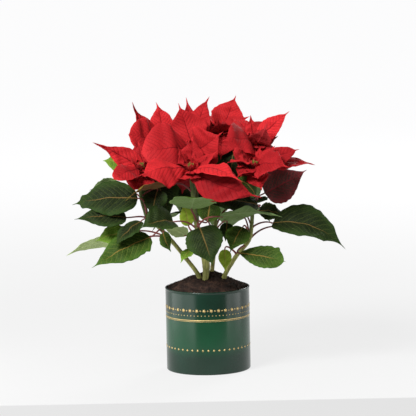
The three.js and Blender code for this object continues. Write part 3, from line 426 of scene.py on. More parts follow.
def turned_patch(profile, sides):
    """Points and faces of a profile, (radius, height) from its foot to its top, turned about +Z."""
    points = [(0, 0, profile[0][1]), *ring_points(profile[1:-1], sides), (0, 0, profile[-1][1])]
    rings = len(profile) - 2
    faces = grid_faces(rings, sides, 1, closed=True)
    last = 1 + (rings - 1) * sides
    for k in range(sides):
        following = (k + 1) % sides
        faces += [[0, 1 + following, 1 + k], [last + k, last + following, len(points) - 1]]
    return np.array(points), faces


# ---------------------------------------------------------------- node trees

class Wire:
    """An output of a node. Expressions on wires and numbers add Math nodes."""

    def __init__(self, plan, socket):
        self.plan, self.socket = plan, socket

    def output(self, name):
        return Wire(self.plan, self.socket.node.outputs[name])

    def math(self, operation, other=0.0, first=None):
        """A Math node of this wire and another value, or of two other values."""
        sockets = {0: self if first is None else first, 1: other}
        return self.plan.add("ShaderNodeMath", sockets, operation=operation)

    def __add__(self, other):
        return self.math("ADD", other)

    def __sub__(self, other):
        return self.math("SUBTRACT", other)

    def __rsub__(self, other):
        return self.math("SUBTRACT", self, other)

    def __mul__(self, other):
        return self.math("MULTIPLY", other)

    def __truediv__(self, other):
        return self.math("DIVIDE", other)

    def __rtruediv__(self, other):
        return self.math("DIVIDE", self, other)

    __radd__ = __add__
    __rmul__ = __mul__

    def step(self, low, high):
        """0 below low, 1 above high, smooth between them. With low above high it falls."""
        rises = low < high
        sockets = {"Value": self, "From Min": min(low, high), "From Max": max(low, high),
                   "To Min": float(not rises), "To Max": float(rises)}
        return self.plan.add("ShaderNodeMapRange", sockets, interpolation_type="SMOOTHSTEP")


class NodePlan:
    """A node tree under construction."""

    def __init__(self, tree):
        self.tree = tree
        tree.nodes.clear()

    def add(self, kind, sockets=None, output=0, stops=(), **settings):
        """Adds a node: its settings and its ramp's stops first, then the value or wire of each socket."""
        node = self.tree.nodes.new(kind)
        for name, value in settings.items():
            setattr(node, name, value)
        if stops:
            elements = node.color_ramp.elements
            while len(elements) < len(stops):
                elements.new(0.5)
            for element, (place, colour) in zip(elements, stops):
                element.position, element.color = place, (*colour, 1)
        for key, value in (sockets or {}).items():
            if isinstance(value, Wire):
                self.tree.links.new(value.socket, node.inputs[key])
            else:
                node.inputs[key].default_value = value
        return Wire(self, node.outputs[output]) if node.outputs else node

    def part(self, vector, axis):
        """One coordinate of a vector."""
        return self.add("ShaderNodeSeparateXYZ", {0: vector}, axis)


class Finish(NodePlan):
    """A material under construction."""

    def __init__(self, name):
        self.material = bpy.data.materials.new(name)
        self.material.use_nodes = True
        super().__init__(self.material.node_tree)

    def attribute(self, name):
        """The three values of a per-point attribute."""
        first = self.part(self.add("ShaderNodeAttribute", output="Vector", attribute_name=name), "X")
        return first, first.output("Y"), first.output("Z")

    def object_place(self):
        return self.add("ShaderNodeTexCoord", output="Object")

    def stretched(self, place, scale):
        return self.add("ShaderNodeMapping", {"Vector": place, "Scale": scale})

    def noise(self, place, scale, detail=3.0, roughness=0.55):
        sockets = {"Vector": place, "Scale": scale, "Detail": detail, "Roughness": roughness}
        return self.add("ShaderNodeTexNoise", sockets)

    def mix(self, factor, a, b):
        """A mix of two colours."""
        colours = {key: value if isinstance(value, Wire) else (*value, 1) for key, value in ((6, a), (7, b))}
        return self.add("ShaderNodeMix", {0: factor, **colours}, output=2, data_type="RGBA")

    def ramp(self, value, stops):
        """A colour ramp with its (place, colour) stops."""
        return self.add("ShaderNodeValToRGB", {0: value}, stops=stops)

    def bump(self, height, strength, distance):
        return self.add("ShaderNodeBump", {"Height": height, "Strength": strength, "Distance": distance * MM})

    def finished(self, **sockets):
        """Ends in a Principled shader with these sockets, spaces in their names written as underlines."""
        named = {key.replace("_", " "): value for key, value in sockets.items()}
        shader = self.add("ShaderNodeBsdfPrincipled", named)
        self.add("ShaderNodeOutputMaterial", {"Surface": shader})
        return self.material


# ---------------------------------------------------------------- finishes

SHEEN_TINT = (1, 0.3, 0.3, 1)


def blade_finish(name, light, dark, margin, vein, rib, under, under_vein,
                 rough=0.5, net=380.0, outer=0.5, sheen=0.0):
    """A bract's or leaf's skin. plan holds the count of side veins, the distance from the midrib and the
    place along it; mark holds the blade's tone (random where the plan sets none, painted light and shade
    where it sets one), 1 on the underside, and the place from midrib to edge."""
    skin = Finish(name)
    veins, off_midrib, along = skin.attribute("plan")
    tone, beneath, edge = skin.attribute("mark")
    side_vein = veins.math("PINGPONG", 0.5).step(0.1, 0.02) * edge.step(1.0, 0.7) * along.step(1.0, 0.8)
    small_vein = (veins * 4).math("PINGPONG", 0.5).step(0.22, 0.04) * edge.step(1.0, 0.85)
    midrib = (off_midrib - 0.7 * (1 - along)).step(0.6, 0.0) * along.step(0.85, 0.55)
    place = skin.object_place()
    cloud = skin.noise(place, 45.0)
    cells = skin.add("ShaderNodeTexVoronoi", {"Vector": place, "Scale": net}, feature="DISTANCE_TO_EDGE")
    flat = cells.step(0.0, 0.22)
    netting = 1 - flat
    # Lighter or darker by the blade's tone and a cloud; where the plan sets the tone, this is painted light
    # and shade.
    colour = skin.mix((tone * 0.7 + cloud * 0.5 - 0.1).step(0.0, 1.0), dark, light)
    towards_margin = edge.step(0.4, 1.0).math("MAXIMUM", along.step(0.5, 1.0))
    # Near the tip every blade also turns to its margin colour: painted light that lifts the tips out of their
    # shading, and on the leaves also their own paler tips.
    colour = skin.mix((towards_margin * outer).math("MAXIMUM", along.step(0.8, 0.95) * 0.8), colour, margin)
    # On the bracts the vein, rib and net colours are dark: painted shade in the grooves of the veins. On the
    # leaves they are the veins' own paler colour.
    for factor, tint in (
        (netting * 0.25, vein), (small_vein * 0.2, vein), (side_vein * 0.62, vein), (midrib * 0.75, rib),
    ):
        colour = skin.mix(factor, colour, tint)
    pale = skin.mix(cloud.step(0.3, 0.7), under, [0.82 * c for c in under])
    for factor in (side_vein * 0.5 + netting * 0.15, midrib * 0.8):
        pale = skin.mix(factor, pale, under_vein)
    relief = flat * 0.35 - small_vein * 0.3 - side_vein * 0.7 - midrib * 0.8
    return skin.finished(
        Base_Color=skin.mix(beneath, colour, pale),
        Roughness=rough + 0.12 * cloud,
        Normal=skin.bump(relief * (1 - 2 * beneath), 0.55, 0.4),
        Sheen_Weight=sheen,
        Sheen_Roughness=0.4,
        Sheen_Tint=SHEEN_TINT,
        Specular_IOR_Level=0.06,
    )


def stem_finish(name, light, dark, blush, young):
    """Bark of the stems and stalks: long streaks, corky dots and a blush, and younger bark further up."""
    skin = Finish(name)
    place = skin.object_place()
    streaks = skin.noise(skin.stretched(place, (1, 1, 0.12)), 420.0, 4.0)
    patches = skin.noise(place, 60.0)
    dots = skin.add("ShaderNodeTexVoronoi", {"Vector": place, "Scale": 260.0}).step(0.16, 0.08)
    height = skin.part(place, "Z") / MM
    colour = skin.mix(streaks.step(0.35, 0.65), dark, light)
    colour = skin.mix(patches.step(0.52, 0.72) * 0.6, colour, blush)
    colour = skin.mix(dots * 0.45, colour, [1.6 * c for c in light])
    return skin.finished(
        Base_Color=skin.mix(height.step(165.0, 235.0) * 0.8, colour, young),
        Roughness=0.5 + 0.2 * patches,
        Normal=skin.bump(streaks * 0.6 + dots, 0.5, 0.3),
        Specular_IOR_Level=0.3,
    )


def soil_finish():
    """Dark damp peat with paler fibres."""
    peat = Finish("peat")
    place = peat.object_place()
    clods = peat.noise(place, 130.0, 5.0, 0.65)
    fibres = peat.noise(peat.stretched(place, (1, 0.22, 1)), 900.0, 4.0)
    stops = [(0.3, (0.008, 0.005, 0.0045)), (0.52, (0.03, 0.017, 0.013)), (0.72, (0.085, 0.045, 0.03))]
    return peat.finished(
        Base_Color=peat.mix(fibres.step(0.62, 0.75) * 0.6, peat.ramp(clods, stops), (0.16, 0.085, 0.055)),
        Roughness=0.85 + 0.1 * clods,
        Normal=peat.bump(clods + fibres * 0.5, 0.9, 1.2),
        Specular_IOR_Level=0.2,
    )


def lacquer_finish():
    """Green lacquer over tin: slightly clouded and faintly rubbed, and lighter in a band round its middle."""
    lacquer = Finish("green_lacquer")
    place = lacquer.object_place()
    height = lacquer.part(place, "Z") / MM
    cloud = lacquer.noise(place, 18.0, 2.0)
    clouded = cloud.step(0.35, 0.65)
    rubbed = lacquer.noise(lacquer.stretched(place, (1, 1, 0.3)), 350.0, 5.0)
    dark = lacquer.mix(clouded, (0.003, 0.02, 0.01), (0.004, 0.026, 0.014))
    light = lacquer.mix(clouded, (0.004, 0.046, 0.018), (0.005, 0.055, 0.022))
    colour = lacquer.mix(height.step(92.0, 70.0) * height.step(22.0, 42.0), dark, light)
    return lacquer.finished(
        Base_Color=lacquer.mix(rubbed.step(0.68, 0.8) * 0.12, colour, (0.1, 0.16, 0.13)),
        Roughness=0.18 + 0.08 * rubbed,
        Normal=lacquer.bump(cloud, 0.04, 1.0),
        Specular_IOR_Level=0.45,
    )


def gold_finish():
    """Foil-stamped gold: a little worn and uneven."""
    gold = Finish("gold_foil")
    grain = gold.noise(gold.object_place(), 900.0, 4.0)
    colour = gold.mix(grain.step(0.35, 0.7), (0.5, 0.33, 0.11), (0.82, 0.62, 0.27))
    return gold.finished(Base_Color=colour, Metallic=0.35, Roughness=0.35 + 0.2 * grain)


def bud_finish():
    """Flower buds: green at the foot, yellow-green above, with red mouths. plan starts with the place
    from foot to tip."""
    bud = Finish("flower_bud")
    foot_to_tip, _, _ = bud.attribute("plan")
    speckle = bud.noise(bud.object_place(), 800.0)
    green, yellow, mouth = (0.05, 0.1, 0.012), (0.2, 0.22, 0.02), (0.25, 0.02, 0.01)
    stops = [(0.0, (0.02, 0.045, 0.008)), (0.45, green), (0.78, yellow), (0.9, mouth)]
    colour = bud.mix(speckle * 0.25, bud.ramp(foot_to_tip, stops), (0.08, 0.12, 0.02))
    return bud.finished(
        Base_Color=colour,
        Roughness=0.35 + 0.25 * speckle,
        Normal=bud.bump(speckle, 0.3, 0.3),
    )


def floor_finish():
    """Pale matt board that glows a little, as painted light: more so further from the pot, and less on its
    front edge, where it is painted shade.
    """
    board = Finish("pale_floor")
    place = board.object_place()
    grain = board.noise(place, 3.0, 2.0)
    distance = board.add("ShaderNodeVectorMath", {0: place}, output="Value", operation="LENGTH")
    # Painted light: the board's glow, weaker near the pot and stronger further off.
    top = board.mix(distance.step(0.3, 2.5), (0.765, 0.765, 0.765), (0.935, 0.935, 0.94))
    # Painted shade: the board's front edge glows less than its top.
    edge = board.part(place, "Z").step(-0.0002, -0.0012)
    return board.finished(
        Base_Color=board.mix(grain, (0.07, 0.07, 0.07), (0.08, 0.08, 0.08)),
        Roughness=0.9 + 0.05 * grain,
        Emission_Color=board.mix(edge, top, (0.68, 0.68, 0.68)),
        Emission_Strength=1.0,
    )


# The bract's dark vein, rib and net colours are painted shade in the grooves of its veins.
RED_BRACT = blade_finish(
    "red_bract", light=(0.61, 0.023, 0.027), dark=(0.24, 0.007, 0.01), margin=(0.6, 0.026, 0.03),
    vein=(0.13, 0.002, 0.005), rib=(0.13, 0.002, 0.005), under=(0.4, 0.026, 0.03),
    under_vein=(0.22, 0.008, 0.012), rough=0.55, net=420.0, outer=0.12, sheen=0.06,
)
DARK_LEAF = blade_finish(
    "dark_leaf", light=(0.007, 0.015, 0.006), dark=(0.003, 0.006, 0.004), margin=(0.034, 0.08, 0.014),
    vein=(0.055, 0.075, 0.018), rib=(0.18, 0.11, 0.033), under=(0.13, 0.2, 0.07),
    under_vein=(0.2, 0.26, 0.11),
)
GREEN_LEAF = blade_finish(
    "green_leaf", light=(0.016, 0.046, 0.005), dark=(0.007, 0.021, 0.004), margin=(0.06, 0.15, 0.015),
    vein=(0.12, 0.16, 0.03), rib=(0.28, 0.17, 0.04), under=(0.19, 0.29, 0.095),
    under_vein=(0.24, 0.34, 0.13), rough=0.48,
)
BRIGHT_LEAF = blade_finish(
    "bright_leaf", light=(0.095, 0.2, 0.016), dark=(0.045, 0.12, 0.011), margin=(0.17, 0.3, 0.03),
    vein=(0.2, 0.25, 0.045), rib=(0.3, 0.27, 0.06), under=(0.38, 0.48, 0.2),
    under_vein=(0.44, 0.53, 0.25), rough=0.45,
)
YOUNG_LEAF = blade_finish(
    "young_leaf", light=(0.27, 0.42, 0.03), dark=(0.14, 0.26, 0.02), margin=(0.32, 0.42, 0.04),
    vein=(0.3, 0.34, 0.06), rib=(0.34, 0.3, 0.07), under=(0.38, 0.48, 0.2),
    under_vein=(0.44, 0.53, 0.25), rough=0.45,
)
MAROON_LEAF = blade_finish(
    "maroon_leaf", light=(0.07, 0.05, 0.042), dark=(0.03, 0.04, 0.03), margin=(0.28, 0.045, 0.055),
    vein=(0.42, 0.03, 0.045), rib=(0.3, 0.03, 0.04), under=(0.09, 0.035, 0.04),
    under_vein=(0.17, 0.022, 0.034), rough=0.42, outer=0.6,
)
OLIVE_LEAF = blade_finish(
    "olive_leaf", light=(0.17, 0.15, 0.02), dark=(0.09, 0.07, 0.012), margin=(0.22, 0.2, 0.03),
    vein=(0.2, 0.06, 0.03), rib=(0.25, 0.08, 0.03), under=(0.17, 0.09, 0.03),
    under_vein=(0.2, 0.04, 0.02), outer=0.4,
)
STEM_BARK = stem_finish(
    "stem_bark", light=(0.36, 0.36, 0.1), dark=(0.17, 0.175, 0.05), blush=(0.2, 0.11, 0.05),
    young=(0.05, 0.085, 0.018),
)
RED_STALK = stem_finish(
    "red_stalk", light=(0.26, 0.07, 0.062), dark=(0.15, 0.034, 0.034), blush=(0.2, 0.12, 0.05),
    young=(0.2, 0.05, 0.045),
)
PEAT = soil_finish()
LACQUER = lacquer_finish()
GOLD = gold_finish()
FLOWER_BUD = bud_finish()
FLOOR = floor_finish()


# ---------------------------------------------------------------- geometry nodes

class MeshPlan(NodePlan):
    """A geometry tree with one geometry input, named inputs for its sizes, and one finish."""

    SOCKETS = {int: "NodeSocketInt", float: "NodeSocketFloat"}

    def __init__(self, name, sizes):
        self.group = bpy.data.node_groups.new(name, "GeometryNodeTree")
        super().__init__(self.group)
        self.sizes = sizes
        for direction in ("INPUT", "OUTPUT"):
            self.group.interface.new_socket("Geometry", in_out=direction, socket_type="NodeSocketGeometry")
        for label, value in sizes.items():
            self.group.interface.new_socket(label, in_out="INPUT", socket_type=self.SOCKETS[type(value)])
        self.source = self.add("NodeGroupInput")

    def size(self, label):
        return self.source.output(label)

    def ends(self, geometry, finish):
        """Closes the tree: real geometry with its finish."""
        real = self.add("GeometryNodeRealizeInstances", {0: geometry})
        dressed = self.add("GeometryNodeSetMaterial", {"Geometry": real, "Material": finish})
        self.add("NodeGroupOutput", {0: dressed})

    def made(self, data):
        """The mesh that the tree makes from a curve or mesh."""
        carrier = new_object("carrier", data)
        modifier = carrier.modifiers.new("tree", "NODES")
        modifier.node_group = self.group
        for item in self.group.interface.items_tree:
            if item.name in self.sizes:
                modifier[item.identifier] = self.sizes[item.name]
        mesh = bpy.data.meshes.new_from_object(carrier.evaluated_get(bpy.context.evaluated_depsgraph_get()))
        carrier.modifiers.remove(modifier)
        bpy.data.objects.remove(carrier)
        return mesh


def limb_plan(name, sides, ridges, depth, finish):
    """Sweeps a ribbed round section along every run of a curve, by the radius of its points."""
    plan = MeshPlan(name, {"Sides": sides, "Ridges": ridges, "Ridge Depth": depth})
    circle = plan.add("GeometryNodeCurvePrimitiveCircle", {"Resolution": plan.size("Sides"), "Radius": 1.0})
    turn = plan.add("GeometryNodeSplineParameter") * (2 * math.pi)
    wave = (turn * plan.size("Ridges")).math("SINE") * plan.size("Ridge Depth") + 1
    place = plan.add("GeometryNodeInputPosition")
    ribbed = plan.add("ShaderNodeVectorMath", {0: place, "Scale": wave}, operation="SCALE")
    section = plan.add("GeometryNodeSetPosition", {"Geometry": circle, "Position": ribbed})
    sockets = {"Curve": plan.source, "Profile Curve": section, "Fill Caps": True}
    sockets["Scale"] = plan.add("GeometryNodeInputRadius")
    plan.ends(plan.add("GeometryNodeCurveToMesh", sockets), finish)
    return plan


def swept(plan, runs):
    """The mesh of limbs along runs of (x, y, z, radius) points, in millimetres."""
    curve = bpy.data.curves.new("runs", "CURVE")
    curve.dimensions = "3D"
    for run in runs:
        spline = curve.splines.new("POLY")
        spline.points.add(len(run) - 1)
        for point, (x, y, z, radius) in zip(spline.points, run):
            point.co = (x * MM, y * MM, z * MM, 1)
            point.radius = radius * MM
    return plan.made(curve)


STEM_LIMBS = limb_plan("stem limbs", sides=28, ridges=7, depth=0.045, finish=STEM_BARK)
STALK_LIMBS = limb_plan("stalk limbs", sides=12, ridges=2, depth=0.06, finish=RED_STALK)


# ---------------------------------------------------------------- blades

class Blade:
    """A bract's or leaf's blade. t runs along its midrib from root to tip, s across it from -1 to 1."""

    def __init__(self, root, tip, faces, width, outline, hinge, shape):
        self.root, self.tip, self.hinge, self.width = root, tip, hinge, width
        self.length = np.linalg.norm(tip - root)
        self.along = (tip - root) / self.length
        self.up = unit(faces - self.along * faces.dot(self.along))
        self.across = np.cross(self.along, self.up)
        self.shape = {**BLADE_SHAPE, **outline, **shape}

    def swung(self, scale, pitch, yaw):
        """The blade turned about its hinge, with all its axes, and shortened from its root."""
        def turn(direction):
            return turned(turned(direction, self.up, yaw), self.across, pitch)

        other = copy.copy(self)
        other.root = turn(self.root - self.hinge) + self.hinge
        other.along, other.up, other.across = turn(self.along), turn(self.up), turn(self.across)
        other.length, other.width = self.length * scale, self.width * scale
        other.tip = other.root + other.along * other.length
        return other

    def half_width(self, t, side):
        shape = self.shape
        body = np.minimum(t / (1 - shape["spike"]), 1)
        power = math.log(0.5) / math.log(shape["widest"])
        fullness = shape["root_fullness"] + (shape["tip_fullness"] - shape["root_fullness"]) * body
        half = self.width / 2 * np.maximum(np.sin(math.pi * body**power), 0) ** fullness
        for place, lobe_side, height in shape["lobes"]:
            distance = np.where(t < place, (place - t) / LOBE_RISE, (t - place) / LOBE_FALL)
            half += (lobe_side == side) * self.width / 2 * height * np.maximum(1 - distance, 0)
        return np.maximum(half, np.where(t > TIP_TAPER_START, TIP_TAPER, ROOT_HALF_WIDTH) * (1 - t))

    def midrib(self, t):
        t = t[:, None]
        bulge = 4 * t * (1 - t) * self.length
        rise = bulge * self.shape["arch"] * (1 + self.shape["skew"] * (2 * t - 1))
        points = self.root + self.along * t * self.length + self.up * rise
        return points + self.across * bulge * self.shape["sweep"]

    def surface(self, t, s, lift_by, widen_by):
        """The middle surface on a grid of places, raised by lift_by, as points[t, s], with half widths."""
        step = 1e-3
        forward = unit(self.midrib(np.minimum(t + step, 1)) - self.midrib(np.maximum(t - step, 0)))
        up = unit(self.up - forward * (forward @ self.up)[:, None])
        across = np.cross(forward, up)
        half = np.where(s > 0, self.half_width(t, 1)[:, None], self.half_width(t, -1)[:, None]) * widen_by
        count, height, phase = self.shape["wave"]
        waved = np.sin(2 * math.pi * count * t[:, None] + phase + (s > 0) * WAVE_SHIFT)
        curl = self.shape["cup"] * half + height * np.minimum(1, 2 * half / self.width) * waved
        lift = np.abs(s) * half * math.sin(self.shape["fold"]) + curl * s**2 + lift_by
        sideways = (s * half * math.cos(self.shape["fold"]))[:, :, None] * across[:, None, :]
        return self.midrib(t)[:, None, :] + sideways + lift[:, :, None] * up[:, None, :], half


def swings():
    """The places that a blade may take: its own, then rings round it, then the same with a shorter blade."""
    for scale in SWING_SCALES:
        yield scale, 0.0, 0.0
        for ring in range(1, SWING_RINGS + 1):
            for k in range(SWING_DIRECTIONS):
                angle = 2 * math.pi * k / SWING_DIRECTIONS
                yield scale, ring * SWING_STEP * math.cos(angle), ring * SWING_STEP * math.sin(angle)


node_corners = {}


def corners_of(node):
    """The corners of a CAD node, in millimetres."""
    if node not in node_corners:
        node_corners[node] = np.unique(np.round(mesh_points(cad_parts[node].data), 4), axis=0)
    return node_corners[node]


def as_grown(blade, node):
    """The blade in the place that it took in its solid, or None where it didn't grow. The solid has two
    corners for the blade's tip, half its thickness to each side."""
    corners = corners_of(node)
    for swing in swings():
        candidate = blade.swung(*swing)
        reach = np.linalg.norm(corners - candidate.tip, axis=1)
        near = corners[np.abs(reach - SOLID_HALF_THICKNESS) < TIP_TOLERANCE]
        for corner in near:
            if np.linalg.norm(near - (2 * candidate.tip - corner), axis=1).min() < PAIR_TOLERANCE:
                return candidate
    return None


BLADE_THICKNESS = 0.45
EDGE_THINNING = 0.55
FULL_RELIEF_WIDTH = 45
# For each kind of blade: side veins on each half, the swell between them and the height of the crumples.
QUILT = {"bract": (12, 1.5, 0.75), "leaf": (11, 1.1, 0.6)}
VEIN_LEAN, VEIN_CURVE = 0.75, 1.32
CRUMPLES = 3
RIB_HALF_WIDTH, RIB_GROOVE, RIB_KEEL = 1.2, 0.35, 0.45
RIPPLES, RIPPLE_HEIGHT = 5.3, 0.7
RAGS, RAG_DEPTH = 9, 0.02
BLADE_GRID = (46, 30)
GRAIN_SEED = 20
grain = np.random.default_rng(GRAIN_SEED)


def blade_faces(rows, columns):
    """Faces of a thin closed blade: a grid of points for each face, and one point for the tip."""
    wide = columns + 1
    flat = rows * wide
    last, tip = flat - wide, 2 * flat
    faces = grid_faces(rows, wide) + [face[::-1] for face in grid_faces(rows, wide, flat)]
    for j in range(columns):
        faces += [[last + j, last + j + 1, tip], [flat + last + j + 1, flat + last + j, tip]]
        faces.append([j + 1, j, flat + j, flat + j + 1])
    for left in range(0, last, wide):
        right = left + columns
        faces.append([left, left + wide, flat + left + wide, flat + left])
        faces.append([right + wide, right, flat + right, flat + right + wide])
    return faces + [[last, tip, flat + last], [tip, last + columns, flat + last + columns]]


def two_sided(upper, lower, tip):
    """Values for a blade's points: a grid for each face, whose last row gives way to the tip's value."""
    return np.concatenate([upper[:-1].reshape(-1, 3), lower[:-1].reshape(-1, 3), [tip]])


def dress_blade(shape, blade, finish, kind, grid=BLADE_GRID):
    """Adds a blade: both faces, swelling between its side veins, thin at the edge, pointed at the tip."""
    rows, columns = grid
    veins, swell, crumple = QUILT[kind]
    t, s = np.linspace(0, 1, rows + 1), np.linspace(-1, 1, columns + 1)[None, :]
    along, out, side = t[:, None], np.abs(s), s > 0
    offset = out * blade.half_width(t, 1)[:, None]
    lean = VEIN_LEAN * offset / blade.length + VEIN_CURVE * (offset / blade.length) ** 2
    count = (along - lean) * veins + side * 0.5 + grain.random()
    between = np.abs(np.sin(math.pi * count)) ** 0.7
    arc = np.sin(math.pi * along)
    fade = np.clip(out * 5, 0, 1) * np.clip((1 - out) * 2.4, 0, 1) * arc**0.5
    uneven = RIPPLE_HEIGHT * np.sin(2 * math.pi * RIPPLES * along + grain.random() * 6 + side * 2) * s**4
    for _ in range(CRUMPLES):
        lengthwise = 1.5 + 2.5 * grain.random()
        crosswise = 1.6 * grain.random() - 0.8
        phase = 6.3 * grain.random()
        uneven = uneven + crumple * np.sin(2 * math.pi * (lengthwise * along + crosswise * s) + phase)
    rib = np.exp(-((offset / RIB_HALF_WIDTH) ** 2)) * (1 - along)
    relief = swell * (between - 0.6) * fade + uneven * arc
    lift = min(1.0, blade.width / FULL_RELIEF_WIDTH) * relief - RIB_GROOVE * rib
    ragged = 1 + RAG_DEPTH * np.sin(2 * math.pi * RAGS * along + grain.random() * 6)
    middle, half = blade.surface(t, s, lift, ragged)
    normal = np.cross(np.gradient(middle, axis=1), np.gradient(middle, axis=0))
    normal[-1] = normal[-2]
    normal = unit(normal)
    full = np.ones_like(half)
    thick = BLADE_THICKNESS / 2 * (1 - EDGE_THINNING * s**4) * full
    upper = middle + normal * thick[:, :, None]
    lower = middle - normal * (thick + RIB_KEEL * rib)[:, :, None]
    points = two_sided(upper, lower, blade.tip)
    # The blade's tone: random where the plan sets none, and painted light and shade where the plan sets one.
    tone = blade.shape.get("tone", 0.25 + 0.6 * grain.random())
    plan = np.stack([count, out * half, along * full], axis=2)
    marks = [np.stack([tone * full, under * full, out * full], axis=2) for under in (0, 1)]
    plans, marks = two_sided(plan, plan, (0.5, 0.5, 1)), two_sided(*marks, (tone, 0, 1))
    shape.add(points, blade_faces(rows, columns), finish, plans, marks)


def stalk_run(leaf):
    """The stalk of a leaf, from its stem into the root of its blade, as (x, y, z, radius) points."""
    reach = np.linalg.norm(leaf.root - leaf.hinge)
    start = leaf.hinge + (leaf.root - leaf.hinge) * STALK_START
    start[2] += STALK_RISE * reach
    end = leaf.root - leaf.along * STALK_END * reach
    run = []
    for t in np.linspace(0, 1, STALK_STEPS):
        weights = ((1 - t) ** 3, 3 * t * (1 - t) ** 2, 3 * t**2 * (1 - t), t**3)
        point = sum(w * p for w, p in zip(weights, (leaf.hinge, start, end, leaf.root)))
        flare = STALK_FLARE * max(0, 1 - STALK_FLARE_FALL * t)
        run.append((*point, STALK_RADIUS * (STALK_FOOT - STALK_TAPER * t + flare)))
    last = leaf.root + leaf.along * STALK_IN_BLADE + leaf.up * (0.2 - STALK_RADIUS)
    run.append((*last, STALK_RADIUS * 0.5))
    return run


# ---------------------------------------------------------------- stems and leaves

LIMB_STEPS = 40
LIMB_SLIMNESS = 0.97
KNOT_RISE = 0.1
BARK_DEPTH = 1.8

LEAF_FINISHES = {
    "right_9": MAROON_LEAF,
    "front_5": OLIVE_LEAF,
    **dict.fromkeys(("front_8", "right_7"), YOUNG_LEAF),
    **dict.fromkeys(("left_5", "left_9", "left_6", "front_6", "front_9"), BRIGHT_LEAF),
    **dict.fromkeys(("left_3", "left_10", "front_4", "front_7"), GREEN_LEAF),
    **dict.fromkeys(("right_3", "right_4", "right_5", "right_6"), GREEN_LEAF),
}


def leaf_blade(stem, at, root, tip, width, faces, shape):
    hinge = axis_point(stem, shape.get("fork"), at)
    return Blade(vec(root), vec(tip), vec(faces), width, LEAF_OUTLINE, hinge, shape)


def rear_blade(stem, fork, azimuth, at, rise, length, droop):
    out = heading(azimuth, 0)
    root = axis_point(stem, fork, at) + out * REAR_STALK + vec((0, 0, rise))
    tip = root + out * length - vec((0, 0, droop))
    shape = {"fork": fork, "arch": REAR_ARCH}
    return leaf_blade(stem, at, root, tip, REAR_WIDTH, heading(azimuth, REAR_TILT), shape)


def limb_run(run):
    """A smooth limb with knots through (x, y, z, radius) points, as more such points, evenly spaced."""
    points, radii = [vec(point[:3]) for point in run], [point[3] for point in run]
    places = np.linspace(0, 1, 12 * LIMB_STEPS + 1)
    line = [spline_point(points, place) for place in places]
    reach = np.concatenate([[0], np.cumsum([np.linalg.norm(b - a) for a, b in zip(line, line[1:])])])
    limb = []
    for share in np.linspace(0, 1, LIMB_STEPS + 1):
        place = np.interp(share, reach / reach[-1], places)
        radius = np.interp(share, np.linspace(0, 1, len(radii)), radii)
        knot = 1 + KNOT_RISE * max(0, math.sin(share * math.pi * 2 * len(points))) ** 6
        limb.append((*spline_point(points, place), LIMB_SLIMNESS * radius * knot))
    return limb


def make_stem(stem):
    """A stem with its forks and the leaves that grow into it."""
    path = STEMS[stem]["path"]
    x, y, z, radius = path[0]
    runs = [[(x, y, z - STEM_IN_SOIL, STEM_FOOT * radius), *path], *STEMS[stem]["forks"].values()]
    shape = Shape(STEM_BARK, RED_STALK, DARK_LEAF)
    shape.add_mesh(swept(STEM_LIMBS, [limb_run(run) for run in runs]), STEM_BARK)
    node = f"stem_{stem}"
    grown = [as_grown(rear_blade(*leaf), node) for leaf in REAR_LEAVES if leaf[0] == stem]
    for leaf in grown:
        dress_blade(shape, leaf, DARK_LEAF, "leaf")
    shape.add_mesh(swept(STALK_LIMBS, [stalk_run(leaf) for leaf in grown]), RED_STALK)
    shape.piece(f"{stem}_stem", "stem", [node])


def make_leaf(name):
    node = f"leaf_{name}"
    leaf = as_grown(leaf_blade(name.split("_")[0], *LEAVES[name]), node)
    finish = LEAF_FINISHES.get(name, DARK_LEAF)
    shape = Shape(finish, RED_STALK)
    dress_blade(shape, leaf, finish, "leaf")
    run = [point for point in stalk_run(leaf) if np.linalg.norm(vec(point[:3]) - leaf.hinge) > BARK_DEPTH]
    shape.add_mesh(swept(STALK_LIMBS, [run]), RED_STALK)
    shape.piece(f"{name}_leaf", "dark_leaf" if finish is MAROON_LEAF else "leaf", [node])


# ---------------------------------------------------------------- blooms

BRACT_DEPTH = 5
INNER_DEPTH = 2
BRACT_ROOT = 0.35  # how far out the roots sit, as a share of the receptacle's radius
RECEPTACLE_SIDES, DOME_SIDES, FLOWER_SIDES = 20, 24, 12
GOLDEN_ANGLE = 137.5
INNER_ELEVATION, INNER_RISE = 24, 7
INNER_WIDTH, INNER_ARCH, RING_ARCH = 0.52, -0.04, 0.13
# The smallest bracts, in rows from the top: count, length and elevation.
NEST_ROWS = [(7, 13, 48), (6, 23, 16), (5, 30, -2), (5, 27, -38)]
NEST_RADIUS, NEST_DEPTH = 4.9, 1.5
NEST_SHAPE = {"arch": -0.12, "wave": (1, 0.4, 0)}
NEST_WIDTH = 0.62
NEST_GRID = (14, 10)
NEST_CHANCE = (30, 6, 16)  # the most that chance adds to azimuth, length and elevation


def seat_of(bloom):
    """The rotation from +Z to a bloom's axis, and the centre of its receptacle."""
    return basis(unit(vec(bloom["axis"]))), vec(bloom["centre"])


def bract(bloom, tip, width, faces, shape, depth):
    centre = vec(bloom["centre"]) - unit(vec(bloom["axis"])) * depth
    root = centre + unit(tip - centre) * RECEPTACLE["radius"] * BRACT_ROOT
    return Blade(root, tip, faces, width, BRACT_OUTLINE, root, shape)


